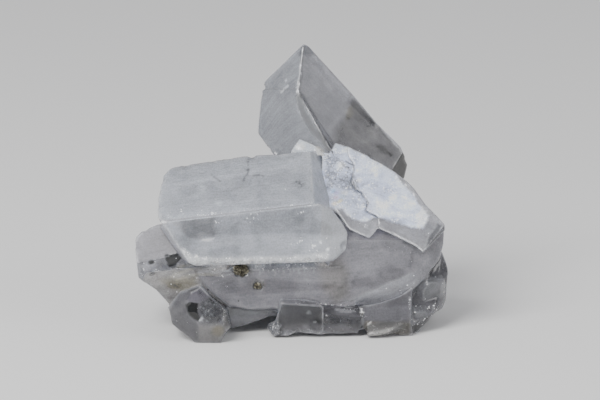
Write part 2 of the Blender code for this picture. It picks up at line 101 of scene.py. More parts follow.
ZONES = {name: Look(face(*look[:3]), *look[3:]) for name, look in {
    "roof": ((-24.4, 24.2, -9), (5.4, 27.6, -9), 48, 0.58, COOL, 0.47, 0.19, 6.5, 0.3, 0.16, 0, 0.02),
    "roof_end": ((4.7, 38.1, 2.6), (4.3, 28, -8.6), 38, 0.61, COOL, 0.49, 0.17, 80, 0.12, 0.1, 0, 0),
    "step": ((-24.4, 24.2, -9), (5.4, 27.6, -9), 89, 0.6, COOL, 0.58, 0.15, 6.5, 0.15, 0.22, 0.02, 0.1),
    "step_end": ((6, 27.4, -9), (5.6, 16.8, -9.1), 58, 0.44, COOL, 0.53, 0.14, 80, 0.1, 0.25, 0, 0.05),
    "step_foot": ((8, 16.4, -9), (-19.4, 15.6, -9), 16, 0.71, PLAIN, 0.53, 0.17, 0, 0.3, 0.5, 0, 0.5),
    "step_corner": ((-20.5, 15.4, -8.6), (-26, 23.6, -8), 30, 0.58, PLAIN, 0.53, 0.15, -60, 0.3, 0.3, 0, 0.2),
    "left_top": ((-30.5, 15.9, -7.2), (-15, 19, -7.2), 70, 0.3, PURPLE, 0.35, 0.5, 11, 0.12, 0.3, 0.03, 0.03),
    "left_low": ((-15, 19, -7.2), (-30.5, 15.9, -7.2), 64, 0.63, PLAIN, 0.78, 0.11, 17, 0.5, 0.7, 0.05, 0.2),
    "stained": ((-13, 12.4, -5.4), (-29.6, 12.2, -5.4), 55, 0.6, WARM, 0.58, 0.2, 14, 0.8, 0.7, 0.2, 0.2),
    "stained_end": ((-11, 18, -4.6), (-12.5, 4, -4.6), 62, 0.64, WARM, 0.58, 0.19, 14, 0.7, 0.7, 0.2, 0.3),
    "slab": ((12.6, 12, -5), (-15, 12, -5.9), 88, 0.37, PURPLE, 0.63, 0.15, 2, 0.45, 0.32, 0.05, 0.06),
    # painted light: lighter than the slab, as it lies in the step's shadow
    "slab_top": ((-19, 14.4, -5.5), (12, 14.9, -5.5), 42, 0.8, PLAIN, 0.3, 0.18, 88, 1, 0.9, 0.1, 0.5),
    "right_slab": ((26, 15, -5.6), (6, 15, -5.1), 88, 0.32, PURPLE, 0.61, 0.14, 12, 0.4, 0.28, 0.02, 0.05),
    "right_slab_up": ((5, 20.3, -5.2), (30, 20.7, -5.6), 42, 0.58, PURPLE, 0.63, 0.15, 5, 0.3, 0.3, 0, 0.05),
    "right_slab_low": ((25.4, 14.6, -5.6), (13, 9.2, -5.1), 60,
                       0.43, PLAIN, 0.58, 0.15, 24, 0.45, 0.45, 0.02, 0.2),
    "right_slab_end": ((28.2, 22, -5.7), (25.4, 14.6, -5.6), 56,
                       0.37, PURPLE, 0.63, 0.12, 70, 0.2, 0.3, 0, 0.05),
    "plate": ((8, 31, -1), (8, 39, 3), (24, 31, -1.8), 0.58, PLAIN, 0.68, 0.13, -26, 0.3, 0.3, 0, 0.05),
    "plate_end": ((30, 23.2, -6.2), (26, 18.4, -8.6), 34, 0.31, PLAIN, 0.83, 0.1, 50, 0.3, 0.4, 0, 0.05),
    "under_plate": ((8, 31, -0.6), (8, 39, 3.4), (24, 31, -1.3),
                    0.62, PLAIN, 0.63, 0.14, -26, 0.3, 0.3, 0, 0.05),
    "cap": ((2.2, 59.2, 12), (1.2, 50.4, 10.2), (-6.4, 46, 13.4), 0.36, COOL, 0.53, 0.17, 0, 0.7, 0.2, 0, 0),
    "side": ((2.2, 59.2, 12), (8.2, 39.6, 9.2), (1.2, 50.4, 10.2),
             0.29, PLAIN, 0.63, 0.14, -50, 0.45, 0.3, 0, 0),
    "tip": ((22.2, 37.6, 11), (19.6, 32.6, 10.2), 32, 0.04, WARM, 0.05, 0.2, 60, 0.2, 0.4, 0, 0),
    "cap_bevel": ((1.2, 50.4, 9.9), (8.6, 39.6, 9.1), (7.4, 39, 3),
                  0.5, PLAIN, 0.68, 0.12, -55, 0.4, 0.3, 0, 0),
    "chip": ((0, 38, 3.2), (2, 41, 4.4), (6.6, 37, 2.2), 0.84, COOL, 0.38, 0.22, -20, 0.2, 0.3, 0, 0.6),
    "stub_front": ((-13, 8, -14.2), (-22, 8, -14.2), 88, 0.27, PURPLE, 0.78, 0.07, 30, 0.15, 0.3, 0, 0.05),
    "stub_low": ((-13.5, 3.9, -14.2), (-18.8, 3.9, -14.2), 58, 0.29, WARM, 0.58, 0.18, 0, 0.2, 0.5, 0.1, 0.1),
    "stub_left": ((-18.8, 3.9, -14.2), (-20.7, 6.2, -14.2), 44,
                  0.17, PURPLE, 0.63, 0.14, 120, 0.2, 0.35, 0, 0.03),
    "stub_left_2": ((-20.7, 6.2, -14.2), (-21.1, 8.6, -14.2), 38,
                    0.15, PURPLE, 0.63, 0.14, 100, 0.2, 0.35, 0, 0.03),
    "stub_left_3": ((-21.1, 8.6, -14.2), (-20.1, 10.3, -14.2), 30,
                    0.19, PURPLE, 0.63, 0.14, 60, 0.2, 0.3, 0, 0.03),
    "stub_top": ((-20.1, 10.3, -14.2), (-18.1, 11.4, -14.2), 22,
                 0.13, PURPLE, 0.63, 0.14, 30, 0.2, 0.3, 0, 0.03),
    "stub_right": ((-13.4, 6.8, -14.2), (-13.5, 3.9, -14.2), 28,
                   0.27, WARM, 0.63, 0.14, 90, 0.2, 0.5, 0.1, 0.1),
    "recess": ((-4, 5, -3.8), (-12, 3.4, -3.8), 74, 0.29, PLAIN, 0.73, 0.11, 15, 0.3, 0.4, 0.02, 0.03),
    "base": ((6, 8, -8.2), (-3, 8, -8.2), 87, 0.1, PURPLE, 0.75, 0.3, 88, 0.2, 0.15, 0.02, 0),
    "base_top": ((-2.6, 7.9, -8.2), (5.2, 7.4, -8.2), 40, 0.3, PURPLE, 0.73, 0.25, 0, 0.2, 0.3, 0, 0.03),
    "base_left": ((-3, 3, -8.2), (-2.2, 8.6, -8.2), 30, 0.36, PLAIN, 0.68, 0.14, 80, 0.3, 0.4, 0.05, 0.1),
    "base_step": ((13, 5, -7.3), (5, 5, -7.6), 85, 0.12, PURPLE, 0.73, 0.25, 0, 0.3, 0.3, 0.03, 0.05),
    "base_step_top": ((5, 6.2, -7.5), (13, 5.4, -7.2), 35, 0.18, PURPLE, 0.63, 0.15, 0, 0.4, 0.5, 0.1, 0.15),
    "right_base": ((15, 4, -6.9), (23.8, 4.2, -6.9), 68, 0.3, PURPLE, 0.73, 0.1, 0, 0.15, 0.2, 0, 0.02),
    "right_base_low": ((23.8, 4.1, -7), (15, 3.9, -7), 74, 0.17, WARM, 0.58, 0.18, 0, 0.2, 0.7, 0.15, 0.05),
    "rear_right": ((24, 12, -2.4), (30.5, 14, 0.2), (25.5, 4, -4.8),
                   0.24, PURPLE, 0.73, 0.11, 60, 0.2, 0.5, 0.03, 0.05),
    "rear_right_end": ((28.8, 17, -0.6), (28, 4, -4.2), 38, 0.2, PURPLE, 0.73, 0.09, 70, 0.2, 0.4, 0, 0.05),
    "rear_right_low": ((28, 6.4, -4), (24, 3.4, -5.2), 48, 0.05, PLAIN, 0.68, 0.14, 40, 0.2, 0.6, 0.05, 0.1),
}.items()}
OTHER_FACE = Look(None, 0.58, PLAIN, 0.58, 0.15, 0, 0.3, 0.3, 0.02, 0.05)   # a flat face seen from other sides
BROKEN_FACE = Look(None, 0.22, PLAIN, 0.58, 0.18, 0, 0.1, 0.6, 0.08, 0.2)   # a face of the broken masses
LOOKS = [*ZONES.values(), OTHER_FACE, BROKEN_FACE]
OTHER, BROKEN = len(ZONES), len(ZONES) + 1

# middle and radii of the broken masses, in the front plane
BROKEN_MASSES = [((-17.6, 5.0, -8.6), (4.6, 4.0, 4.2)), ((-3.3, 3.0, -6.6), (1.9, 2.0, 2.4)),
                 ((27.1, 10.6, 1.6), (4.1, 5.6, 5.4)), ((25.0, 5.8, -1.4), (2.6, 3.2, 4.2)),
                 ((18.8, 3.0, -4.8), (4.8, 2.3, 3.2)), ((20.0, 10.0, 12.0), (8.4, 5.6, 6.4))]
MASS_REACH = 1.35       # squared, and over the radii: how far from the middle a face still belongs to a mass
FACES_DOWN = -0.2       # a normal's upward part, below which a face looks down
UNDERSIDE_TOP = 6       # how high above the floor the broken underside reaches


# ---------- Arithmetic on arrays of points ----------

def smooth(low, high, value):
    """0 below low, 1 above high and smooth between."""
    share = np.clip((value - low) / (high - low), 0, 1)
    return share * share * (3 - 2 * share)


def unit(vectors):
    return vectors / np.maximum(np.linalg.norm(vectors, axis=-1, keepdims=True), 1e-12)


def to_line(x, y, line):
    """Distance from each (x, y) to a line of points."""
    nearest = np.full(len(x), 1e9)
    for (ax, ay), (bx, by) in zip(line, line[1:]):
        run = (bx - ax) ** 2 + (by - ay) ** 2
        along = np.clip(((x - ax) * (bx - ax) + (y - ay) * (by - ay)) / run, 0, 1)
        nearest = np.minimum(nearest, np.hypot(x - ax - along * (bx - ax), y - ay - along * (by - ay)))
    return nearest


def inside(x, y, outline):
    """Distance from each (x, y) to the outline, less than 0 outside it."""
    within = np.zeros(len(x), bool)
    for (ax, ay), (bx, by) in zip(outline, outline[1:] + outline[:1]):
        if ay != by:
            within ^= ((ay > y) != (by > y)) & (x < ax + (y - ay) * (bx - ax) / (by - ay))
    return np.where(within, 1, -1) * to_line(x, y, outline + outline[:1])


def field(points, size, seed):
    """Smooth noise about 0 at each point, with features about as large as size."""
    offset = Vector((seed * 17.3, seed * 9.1, seed * 4.7))
    return np.array([noise.noise(Vector(point) / size + offset) for point in points])


# ---------- A fine mesh over the CAD cluster ----------

FRONT_STEP, BACK_STEP = 0.48, 1.7      # the fine mesh's edge length on flat faces
FRONT_EDGE, BACK_EDGE = 0.33, 0.85     # and beside the crystals' edges
NEAR_EDGE, FAR_FROM_EDGE = 0.2, 1.5    # where the one goes over to the other
CRACK_STEP = 0.15
NEAR_CRACK, FAR_FROM_CRACK = 0.2, 1.8
LONGEST = 1.35                         # a mesh edge is halved where it is longer than this many steps
MOST_ROUNDS = 14
MERGED = 0.04                          # corners closer than this are one
SAME_PLANE = math.radians(0.4)
SHARP_TURN = math.radians(14)          # faces that meet at more than this meet at an edge
THINNEST = 0.03                        # area over outline of a face that is more than a sliver
EDGE_POINTS = 0.15                     # between the points kept along an edge
FACES_FRONT = -0.1                     # a normal's part away from the front, below which the front shows it
ZONE_REACH, TURN_COUNTS = 0.12, 12     # how far a face may lie from its zone's plane, and what a turn adds

# the open crack between the two white plates
ZIGZAG = [(10.8, 36.2), (12.4, 35.4), (12.5, 34.4), (11.8, 32.2), (12.6, 30.6), (14, 29.8), (14.2, 29),
          (15.2, 28), (14.6, 26.4), (17, 25)]


class Surface:
    """The cluster's surface as arrays: points in millimetres, triangles, and the CAD face of each."""

    def __init__(self, mesh):
        bm = bmesh.new()
        bm.from_mesh(mesh)
        bmesh.ops.scale(bm, vec=(1 / MM,) * 3, verts=bm.verts)
        bmesh.ops.remove_doubles(bm, verts=bm.verts, dist=MERGED)
        bmesh.ops.dissolve_limit(bm, angle_limit=SAME_PLANE, verts=bm.verts, edges=bm.edges)
        bm.faces.index_update()
        faces = bm.faces.layers.int.new("cad_face")
        self.cad_faces = []
        for face in bm.faces:
            face[faces] = face.index
            self.cad_faces.append((face.calc_center_median(), face.normal.copy()))
        self.edges, self.edge_turns = self.crystal_edges(bm)
        bmesh.ops.triangulate(bm, faces=bm.faces)
        bm.verts.index_update()
        self.points = np.array([vert.co[:] for vert in bm.verts])
        self.triangles = np.array([[vert.index for vert in face.verts] for face in bm.faces])
        self.cad_face = np.array([face[faces] for face in bm.faces])
        bm.free()
        self.look_up_edges(0)

    @staticmethod
    def crystal_edges(bm):
        """Points close together along the crystals' edges, as a tree, and how far each edge turns."""
        points, turns = [], []
        for edge in bm.edges:
            turn = edge.calc_face_angle_signed(0.0) if len(edge.link_faces) == 2 else 0.0
            thinnest = min((face.calc_area() / face.calc_perimeter() for face in edge.link_faces), default=0)
            if abs(turn) < SHARP_TURN or thinnest < THINNEST:
                continue
            start, end = (vert.co for vert in edge.verts)
            count = max(1, round((end - start).length / EDGE_POINTS))
            for number in range(count + 1):
                points.append(start.lerp(end, number / count))
                turns.append(turn)
        tree = kdtree.KDTree(len(points))
        for index, point in enumerate(points):
            tree.insert(point, index)
        tree.balance()
        return tree, np.array(turns)

    def look_up_edges(self, first):
        """How far each point from the first on is from a crystal's edge, and how that edge turns."""
        found = [self.edges.find(Vector(point)) for point in self.points[first:]]
        gaps = np.array([gap for _, _, gap in found])
        turns = self.edge_turns[[index for _, index, _ in found]]
        self.gap = np.append(self.gap, gaps) if first else gaps
        self.turn = np.append(self.turn, turns) if first else turns

    def in_plane(self):
        """The points' places right, up and away in the front plane."""
        offset = self.points - np.array(PLANE_ORIGIN)
        return offset @ np.array(RIGHT), offset @ np.array(UP), offset @ np.array(AWAY)

    def in_view(self):
        """The place of the front plane, right and up, behind or before which each point is seen."""
        right, up, depth = self.in_plane()
        scale = VIEW_DISTANCE / (VIEW_DISTANCE + depth)
        return VIEW_MIDDLE[0] + scale * (right - VIEW_MIDDLE[0]), VIEW_MIDDLE[1] + scale * (up - VIEW_MIDDLE[1])

    def normals(self):
        """The triangles' normals and the points' normals."""
        a, b, c = (self.points[self.triangles[:, corner]] for corner in range(3))
        across = np.cross(b - a, c - a)
        summed = np.zeros_like(self.points)
        for corner in range(3):
            np.add.at(summed, self.triangles[:, corner], across)
        return unit(across), unit(summed)

    def touching(self, chosen):
        """1 at the points of the chosen triangles and 0 elsewhere."""
        touched = np.zeros(len(self.points))
        touched[self.triangles[chosen]] = 1
        return touched

    def soften(self, share, rounds):
        """Moves each point towards the middle of its neighbours by its share, so many times."""
        start, end = self.triangles[:, [0, 1, 1, 2, 2, 0]].reshape(-1, 2).T
        near = (share[start] > 0) | (share[end] > 0)
        start, end = start[near], end[near]
        count = np.bincount(start, minlength=len(share)) + np.bincount(end, minlength=len(share))
        for _ in range(rounds):
            middle = np.zeros_like(self.points)
            for axis in range(3):
                at = self.points[:, axis]
                total = np.bincount(start, at[end], len(share)) + np.bincount(end, at[start], len(share))
                middle[:, axis] = total / np.maximum(count, 1)
            self.points = self.points + share[:, None] * (middle - self.points)

    def steps(self):
        """How long the mesh's edges may be at each point."""
        flat_normals, _ = self.normals()
        facing = np.full(len(self.points), 1.0)
        for corner in range(3):
            np.minimum.at(facing, self.triangles[:, corner], flat_normals @ np.array(AWAY))
        at_front = 1 - smooth(-0.1, 0.1, facing)
        flat = BACK_STEP + (FRONT_STEP - BACK_STEP) * at_front
        edge = BACK_EDGE + (FRONT_EDGE - BACK_EDGE) * at_front
        step = edge + (flat - edge) * smooth(NEAR_EDGE, FAR_FROM_EDGE, self.gap)
        x, y = self.in_view()
        crack = CRACK_STEP + (flat - CRACK_STEP) * smooth(NEAR_CRACK, FAR_FROM_CRACK, to_line(x, y, ZIGZAG))
        return np.where(at_front > 0.5, np.minimum(step, crack), step)

    def refine(self):
        """Halves the mesh's edges until each is short enough for where it is."""
        for _ in range(MOST_ROUNDS):
            step = self.steps()
            count = len(self.points)
            pairs = np.sort(self.triangles[:, [0, 1, 1, 2, 2, 0]].reshape(-1, 2), axis=1)
            codes, which = np.unique(pairs[:, 0] * count + pairs[:, 1], return_inverse=True)
            start, end = codes // count, codes % count
            length = np.linalg.norm(self.points[start] - self.points[end], axis=1)
            long = length > LONGEST * np.minimum(step[start], step[end])
            if not long.any():
                break
            middles = np.full(len(codes), -1)
            middles[long] = count + np.arange(long.sum())
            self.points = np.vstack([self.points, (self.points[start[long]] + self.points[end[long]]) / 2])
            self.look_up_edges(count)
            self.split(middles[which.reshape(-1, 3)])

    def split(self, middles):
        """Splits the triangles at the middles of their edges, where these aren't -1."""
        made, owners = [], []
        for pattern in range(8):
            chosen = np.flatnonzero(((middles >= 0) @ np.array([1, 2, 4])) == pattern)
            corners, mids, owner = self.triangles[chosen], middles[chosen], self.cad_face[chosen]
            turn = {0: 0, 7: 0, 1: 0, 2: 1, 4: 2, 3: 0, 6: 1, 5: 2}[pattern]    # brings all cases to the first
            a, b, c = np.roll(corners, -turn, axis=1).T
            ab, bc, ca = np.roll(mids, -turn, axis=1).T
            if pattern == 0:
                parts = [(a, b, c)]
            elif pattern in (1, 2, 4):
                parts = [(a, ab, c), (ab, b, c)]
            elif pattern == 7:
                parts = [(a, ab, ca), (ab, b, bc), (ca, bc, c), (ab, bc, ca)]
            else:
                near = (np.linalg.norm(self.points[a] - self.points[bc], axis=1)
                        < np.linalg.norm(self.points[ab] - self.points[c], axis=1))
                parts = [(ab, b, bc), (a, ab, np.where(near, bc, c)), (np.where(near, a, ab), bc, c)]
            for part in parts:
                made.append(np.column_stack(part))
                owners.append(owner)
        self.triangles, self.cad_face = np.vstack(made), np.concatenate(owners)


def zone_of_faces(surface):
    """The number of each CAD face's look: of the zone whose plane it lies in, or of other or broken faces."""
    found = []
    for centre, normal in surface.cad_faces:
        offsets = [(abs((centre - point).dot(towards)) + TURN_COUNTS * (1 - normal.dot(towards)), number)
                   for number, (point, towards) in enumerate(look.face for look in ZONES.values())]
        nearest, number = min(offsets)
        if nearest > ZONE_REACH:
            number = BROKEN if is_broken(centre, normal) else OTHER
        found.append(number)
    return np.array(found)


def is_broken(point, normal):
    """Whether the face belongs to a broken mass or to the broken underside."""
    offset = point - PLANE_ORIGIN
    inward = (offset.dot(RIGHT), offset.dot(UP), offset.dot(AWAY))
    for middle, radii in BROKEN_MASSES:
        if sum(((at - centre) / radius) ** 2 for at, centre, radius in zip(inward, middle, radii)) < MASS_REACH:
            return True
    return normal.z < FACES_DOWN and 0.001 < point.z < UNDERSIDE_TOP


# ---------- Relief ----------

UNEVEN, FINE = 1.6, 0.55        # the sizes of the noise that varies the wear and the marks
EDGE_REACH, REACH_SWING = 0.34, 0.16    # how far from an edge it is worn round, and how that varies
OUTER_TURN = (0.1, 0.5)         # in radians: how far an outer edge turns before it wears, and wears in full
CHIP_REACH, CHIP_DEPTH = 0.8, 0.3
CHIPPED = (0.15, 0.6)           # the noise at which chips start, and are full
RAGGED_REACH, RAGGED_DEPTH = 1.8, 0.42
FACETS = ((2.4, 3, 0.5), (1.0, 4, 0.22))        # size, seed and depth of the broken masses' facets
RAGGED = ("left_low stained stained_end stub_front stub_low stub_left stub_left_2 stub_left_3 "
          "stub_top stub_right base base_left base_step base_step_top right_base_low rear_right "
          "rear_right_end rear_right_low")
ROUNDED = RAGGED + " slab slab_top right_slab right_slab_up right_slab_low right_slab_end"
# (middle, radii, rounds of softening) of what is worn to rounded lumps
MELTED = [((19.2, 2.6), (5.6, 2.6), 14), ((27.6, 9.4), (5.2, 9.0), 8), ((-17.2, 6.4), (6.0, 6.4), 3)]
# (line, rounds of softening) where a crystal's edge is worn round
WORN_LINES = [([(-26.8, 24.6), (-17.4, 25.5), (-1.8, 27), (5.6, 27.8)], 7), ([(-26.8, 25), (-20.4, 15.8)], 8),
              ([(-1.8, 8), (1.6, 8.2), (5.8, 7.4), (6, 2.2)], 6), ([(2, 59.2), (1, 49.2)], 3),
              ([(1, 49.2), (2.2, 45.8), (7.6, 38.8)], 5)]
# (middle, radius, depth) of the dents in the crystals' edges
DENTS = [((-8, 37.1), 1, 0.55), ((-9.2, 37.8), 0.6, 0.1), ((-15.8, 35.9), 0.8, 0.22), ((-21.2, 34.8), 1, 0.25),
         ((-12.4, 36.4), 0.8, 0.2), ((-2.8, 37.7), 1, 0.22), ((1, 38.4), 0.8, 0.2), ((-26.2, 32.4), 1, 0.3),
         ((-27, 27.4), 1, 0.3), ((-26.8, 30), 0.8, 0.22), ((-5.8, 50.8), 0.7, 0.4), ((-6, 49), 1, 0.25),
         ((-4.8, 39), 1, 0.3), ((-2.2, 56), 1.2, 0.22), ((5.6, 56), 1, 0.15), ((11.4, 49.6), 1, 0.2),
         ((17.6, 42.8), 1.2, 0.25), ((20.6, 32.8), 0.8, 0.3), ((23.2, 36.4), 1, 0.3), ((10.6, 39), 0.8, 0.2),
         ((16, 36.8), 0.8, 0.2), ((22.4, 31.2), 1, 0.25), ((24, 29.2), 0.8, 0.2), ((29.6, 23.6), 0.8, 0.3),
         ((-31, 19.4), 1, 0.3), ((-29.4, 22.6), 1, 0.2), ((10.4, 19.2), 0.8, 0.25), ((-24.4, 23.2), 0.8, 0.2)]

WORN_REACH = (1.4, 0.6)         # how far from its line the wear starts, and is full
DENTS_REACH = 1.5               # how far from an edge the dents go
CRACK_DEPTH = 0.12
CRACK_SIDES = (0.08, 0.28)      # how far from its middle the crack's sides start and end


def among(names):
    """The numbers of the named zones, where other and broken are the faces in no zone."""
    every = [*ZONES, "other", "broken"]
    return [every.index(name) for name in names.split()]


def wear(surface, zone):
    """Rounds and chips the crystals' edges, breaks up the rough masses and opens the crack."""
    points, gap, turn = surface.points, surface.gap, surface.turn
    low, high = points.min(axis=0), points.max(axis=0)
    _, normals = surface.normals()
    at_front = normals @ np.array(AWAY) < FACES_FRONT
    x, y = surface.in_view()
    broken = surface.touching(zone == BROKEN)
    ragged = surface.touching(np.isin(zone, among(RAGGED)))
    rounded = surface.touching(np.isin(zone, among(ROUNDED)))
    convex = smooth(*OUTER_TURN, turn)
    uneven = field(points, UNEVEN, 1)
    fine = field(points, FINE, 2)

    reach = EDGE_REACH + REACH_SWING * uneven
    rounding = 0.5 * reach * np.clip(1 - gap / reach, 0, 1) ** 2
    chipping = CHIP_DEPTH * smooth(*CHIPPED, uneven + 0.35 * fine) * np.clip(1 - gap / CHIP_REACH, 0, 1) ** 2
    inward = convex * np.sin(np.clip(turn, 0, math.pi) / 2) * (rounding + chipping)
    inward += broken * sum(np.abs(field(points, size, seed)) * depth for size, seed, depth in FACETS)
    inward += (ragged * RAGGED_DEPTH * (0.5 + field(points, 1.5, 6) + 0.5 * field(points, 0.6, 7))
               * smooth(RAGGED_REACH, 0.0, gap))
    for middle, radius, depth in DENTS:
        bowl = np.clip(1 - ((x - middle[0]) ** 2 + (y - middle[1]) ** 2) / radius ** 2, 0, 1)
        inward += depth * bowl ** 1.5 * (gap < DENTS_REACH)
    inward += at_front * CRACK_DEPTH * (1 - smooth(*CRACK_SIDES, to_line(x, y, ZIGZAG)))
    surface.points = points - normals * inward[:, None]

    surface.soften(0.5 * convex * smooth(1.0, 0.3, gap), 2)
    surface.soften(0.5 * np.maximum(rounded * smooth(-0.1, 0.2, turn), broken) * smooth(2.4, 0.8, gap), 7)
    for line, rounds in WORN_LINES:
        surface.soften(0.5 * at_front * smooth(*WORN_REACH, to_line(x, y, line)), rounds)
    right, up, _ = surface.in_plane()
    for (across, along), radii, rounds in MELTED:
        surface.soften(0.5 * smooth(1.1, 0.8, np.hypot((right - across) / radii[0], (up - along) / radii[1])),
                       rounds)
    surface.points = np.clip(surface.points, low, high)
    return uneven, fine, convex


# ---------- Colour, cloudiness and marks ----------

WANDER = 0.22           # how far the outlines of marks wander
FROST_REACH = 0.4       # of the frost on an outer edge
FROST_TURN = (0.4, 1.1)     # in radians: how far the edge turns before it has some, and all
FOOT_REACH = 0.5        # of the shade in an inner one
BLOT_RIM = (0.45, 1.15)     # where a blot's rim starts and ends, over its radii
BLEND_REACH = 1.6           # how far from an edge the looks run into one another
BLEND_ROUNDS = 5
FINISH = ("clear", "rough", "streaks", "clouds", "dark", "pale")    # the columns of a corner's finish


class Paint:
    """Colour and finish at each corner of each triangle, with marks placed in the front plane."""

    def __init__(self, surface, zone, uneven, fine, convex):
        corners = surface.triangles.ravel()
        self.zone = np.repeat(zone, 3)
        self.colour = np.array([look.light * np.array(look.tint) for look in LOOKS])[self.zone]
        self.finish = np.array([[getattr(look, name) for name in FINISH] for look in LOOKS], float)[self.zone]
        self.blend(surface, convex)
        x, y = surface.in_view()
        self.x = (x + WANDER * uneven + 0.1 * fine)[corners]
        self.y = (y - WANDER * field(surface.points, 1.7, 9) - 0.08 * fine)[corners]
        sharp = smooth(*FROST_TURN, surface.turn)
        self.edge = (sharp * np.clip(1 - surface.gap / (FROST_REACH + REACH_SWING * uneven), 0, 1))[corners]
        # the foot is painted shade in the inner edges where crystals meet
        self.foot = ((1 - convex) * np.clip(1 - surface.gap / FOOT_REACH, 0, 1))[corners]
        self.uneven, self.fine = uneven[corners], fine[corners]
        flat, _ = surface.normals()
        self.at_front = np.repeat(flat @ np.array(AWAY) < FACES_FRONT, 3)

    def blend(self, surface, convex):
        """Lets the looks of the lower crystals' faces run into one another at the edges between them."""
        corners = surface.triangles.ravel()
        counted = (np.isin(self.zone, among(ROUNDED)) | (self.zone >= OTHER)).astype(float)
        values = np.column_stack([self.colour, self.finish, np.ones(len(corners))]) * counted[:, None]
        start, end = surface.triangles[:, [0, 1, 1, 2, 2, 0]].reshape(-1, 2).T
        mixed = np.zeros((len(surface.points), values.shape[1]))
        for column in range(values.shape[1]):
            value = np.bincount(corners, values[:, column], len(surface.points))
            for _ in range(BLEND_ROUNDS):
                value = 0.4 * value + 0.1 * (np.bincount(start, value[end], len(value))
                                             + np.bincount(end, value[start], len(value)))
            mixed[:, column] = value
        mixed = (mixed[:, :-1] / np.maximum(mixed[:, -1:], 1e-9))[corners]
        share = (counted * (convex * smooth(BLEND_REACH, 0.3, surface.gap))[corners])[:, None]
        self.colour += share * (mixed[:, :3] - self.colour)
        self.finish += share * (mixed[:, 3:] - self.finish)

    def showing(self, zones):
        """The corners in the zones, where they face the front."""
        return np.flatnonzero(self.at_front & np.isin(self.zone, among(zones)))

    def area(self, zones, outline, soft, **change):
        """Marks what is inside the outline."""
        at = self.showing(zones)
        self.apply(at, smooth(-soft / 2, soft / 2, inside(self.x[at], self.y[at], outline)), **change)

    def line(self, zones, points, width, soft, **change):
        """Marks a line of the width, with a soft rim outside it."""
        at = self.showing(zones)
        self.apply(at, 1 - smooth(width / 2, width / 2 + soft, to_line(self.x[at], self.y[at], points)),
                   **change)

    def blot(self, zones, middle, radii, turn=0.0, **change):
        """Marks a soft ellipse, turned anticlockwise."""
        at = self.showing(zones)
        cos, sin = math.cos(math.radians(turn)), math.sin(math.radians(turn))
        right, up = self.x[at] - middle[0], self.y[at] - middle[1]
        reach = np.hypot((right * cos + up * sin) / radii[0], (up * cos - right * sin) / radii[1])
        self.apply(at, 1 - smooth(*BLOT_RIM, reach), **change)

    def apply(self, at, share, shade=None, to=None, amount=1.0, **finish):
        """Darkens or lightens by shade, goes over to a colour, and shifts the named columns of the finish."""
        share = share * amount
        if shade is not None:
            self.colour[at] *= 1 + share[:, None] * (np.array(shade) - 1)
        if to is not None:
            self.colour[at] += share[:, None] * (np.array(to) - self.colour[at])
        for name, value in finish.items():
            column = FINISH.index(name)
            self.finish[at, column] += share * (value - self.finish[at, column])


FROST = (0.86, 0.88, 0.91)
WHITE = (0.95, 0.97, 1.02)
BLACK = (0.006, 0.007, 0.008)
FROSTED = "roof step step_end step_foot step_corner plate plate_end under_plate chip left_top"
# these get painted shade along their edges, against the glow there
SHADED = ROUNDED + " cap side cap_bevel tip"        # edges that are darker instead
MUCH, SOME, LITTLE, HARDLY = 0.5, 0.3, 0.12, 0.08   # how frosted edges are


def edge_marks(paint):
    """Frosted edges, painted shade on edges that glow, and painted shade in the foot where crystals meet."""
    everywhere = np.arange(len(paint.zone))
    amount = np.where(np.isin(paint.zone, among(FROSTED)), MUCH, np.where(paint.zone >= OTHER, LITTLE, SOME))
    amount = np.where(np.isin(paint.zone, among(SHADED)), HARDLY, amount)
    frost = paint.edge * smooth(-0.6, 0.7, paint.uneven + 0.9 * paint.fine)
    paint.apply(everywhere, frost * amount, to=FROST, clear=0.35, rough=0.25)
    # painted shade on the edges of the SHADED zones, against their glow
    paint.apply(everywhere, paint.edge * (amount == HARDLY), shade=0.72)
    # painted shade in the inner edges where crystals meet
    paint.apply(everywhere, paint.foot, shade=0.95)


def roof_marks(paint):
    """The large crystal's sloping face: healed cracks, small veils, painted glints and a frosted lower edge."""
    paint.area("roof", [(-26.8, 27.4), (-15.4, 27.4), (-17.4, 25.2), (-26.4, 23.6)], 2, shade=1.06, pale=0.3)
    glints = [((-18, 30.8), (0.8, 0.6)), ((-19.2, 29), (0.7, 0.5)), ((-14.6, 27.8), (0.8, 0.6)),
              ((-22, 34), (0.8, 0.5)), ((-0.4, 36.4), (0.6, 0.4)), ((-25, 25.4), (0.6, 0.5))]
    for middle, radii in glints:
        paint.blot("roof", middle, radii, shade=1.16)
    paint.line("roof", [(-8.6, 37.4), (-8.7, 35.8), (-8.8, 34), (-9.2, 33), (-9.8, 32.4)], 0.12, 0.18,
               shade=0.45)
    paint.line("roof", [(-9.6, 34.6), (-8.6, 34.5)], 0.1, 0.18, shade=0.6)
    paint.line("roof", [(-16.2, 33.6), (-15.2, 32.8), (-14.2, 32)], 0.12, 0.2, shade=0.6)
    paint.line("roof", [(-7.4, 33.3), (-6, 33.2)], 0.1, 0.18, shade=0.5)
    paint.line("roof", [(-11.2, 29.8), (-11.8, 28.4)], 0.1, 0.28, shade=0.85)
    paint.blot("roof", (1.4, 31.6), (1.6, 1), shade=0.86, dark=0.8)
    paint.line("roof", [(0.8, 32), (1.8, 31.6)], 0.12, 0.16, shade=0.5)
    paint.blot("roof", (2.6, 30), (1.2, 0.6), turn=-10, shade=1.15, pale=0.5)
    paint.blot("roof", (-1, 30.4), (1.2, 0.6), turn=-10, shade=1.08, pale=0.25)
    paint.line("roof", [(-26.4, 32.4), (-26.8, 28.4), (-27, 25.2)], 0.2, 0.6, shade=1.1)
    paint.line("roof", [(-25.4, 24.8), (-17.4, 25.5), (-10.4, 26.2), (-1.8, 27), (5.2, 27.8)], 0.32, 0.5,
               shade=1.12, pale=0.5)


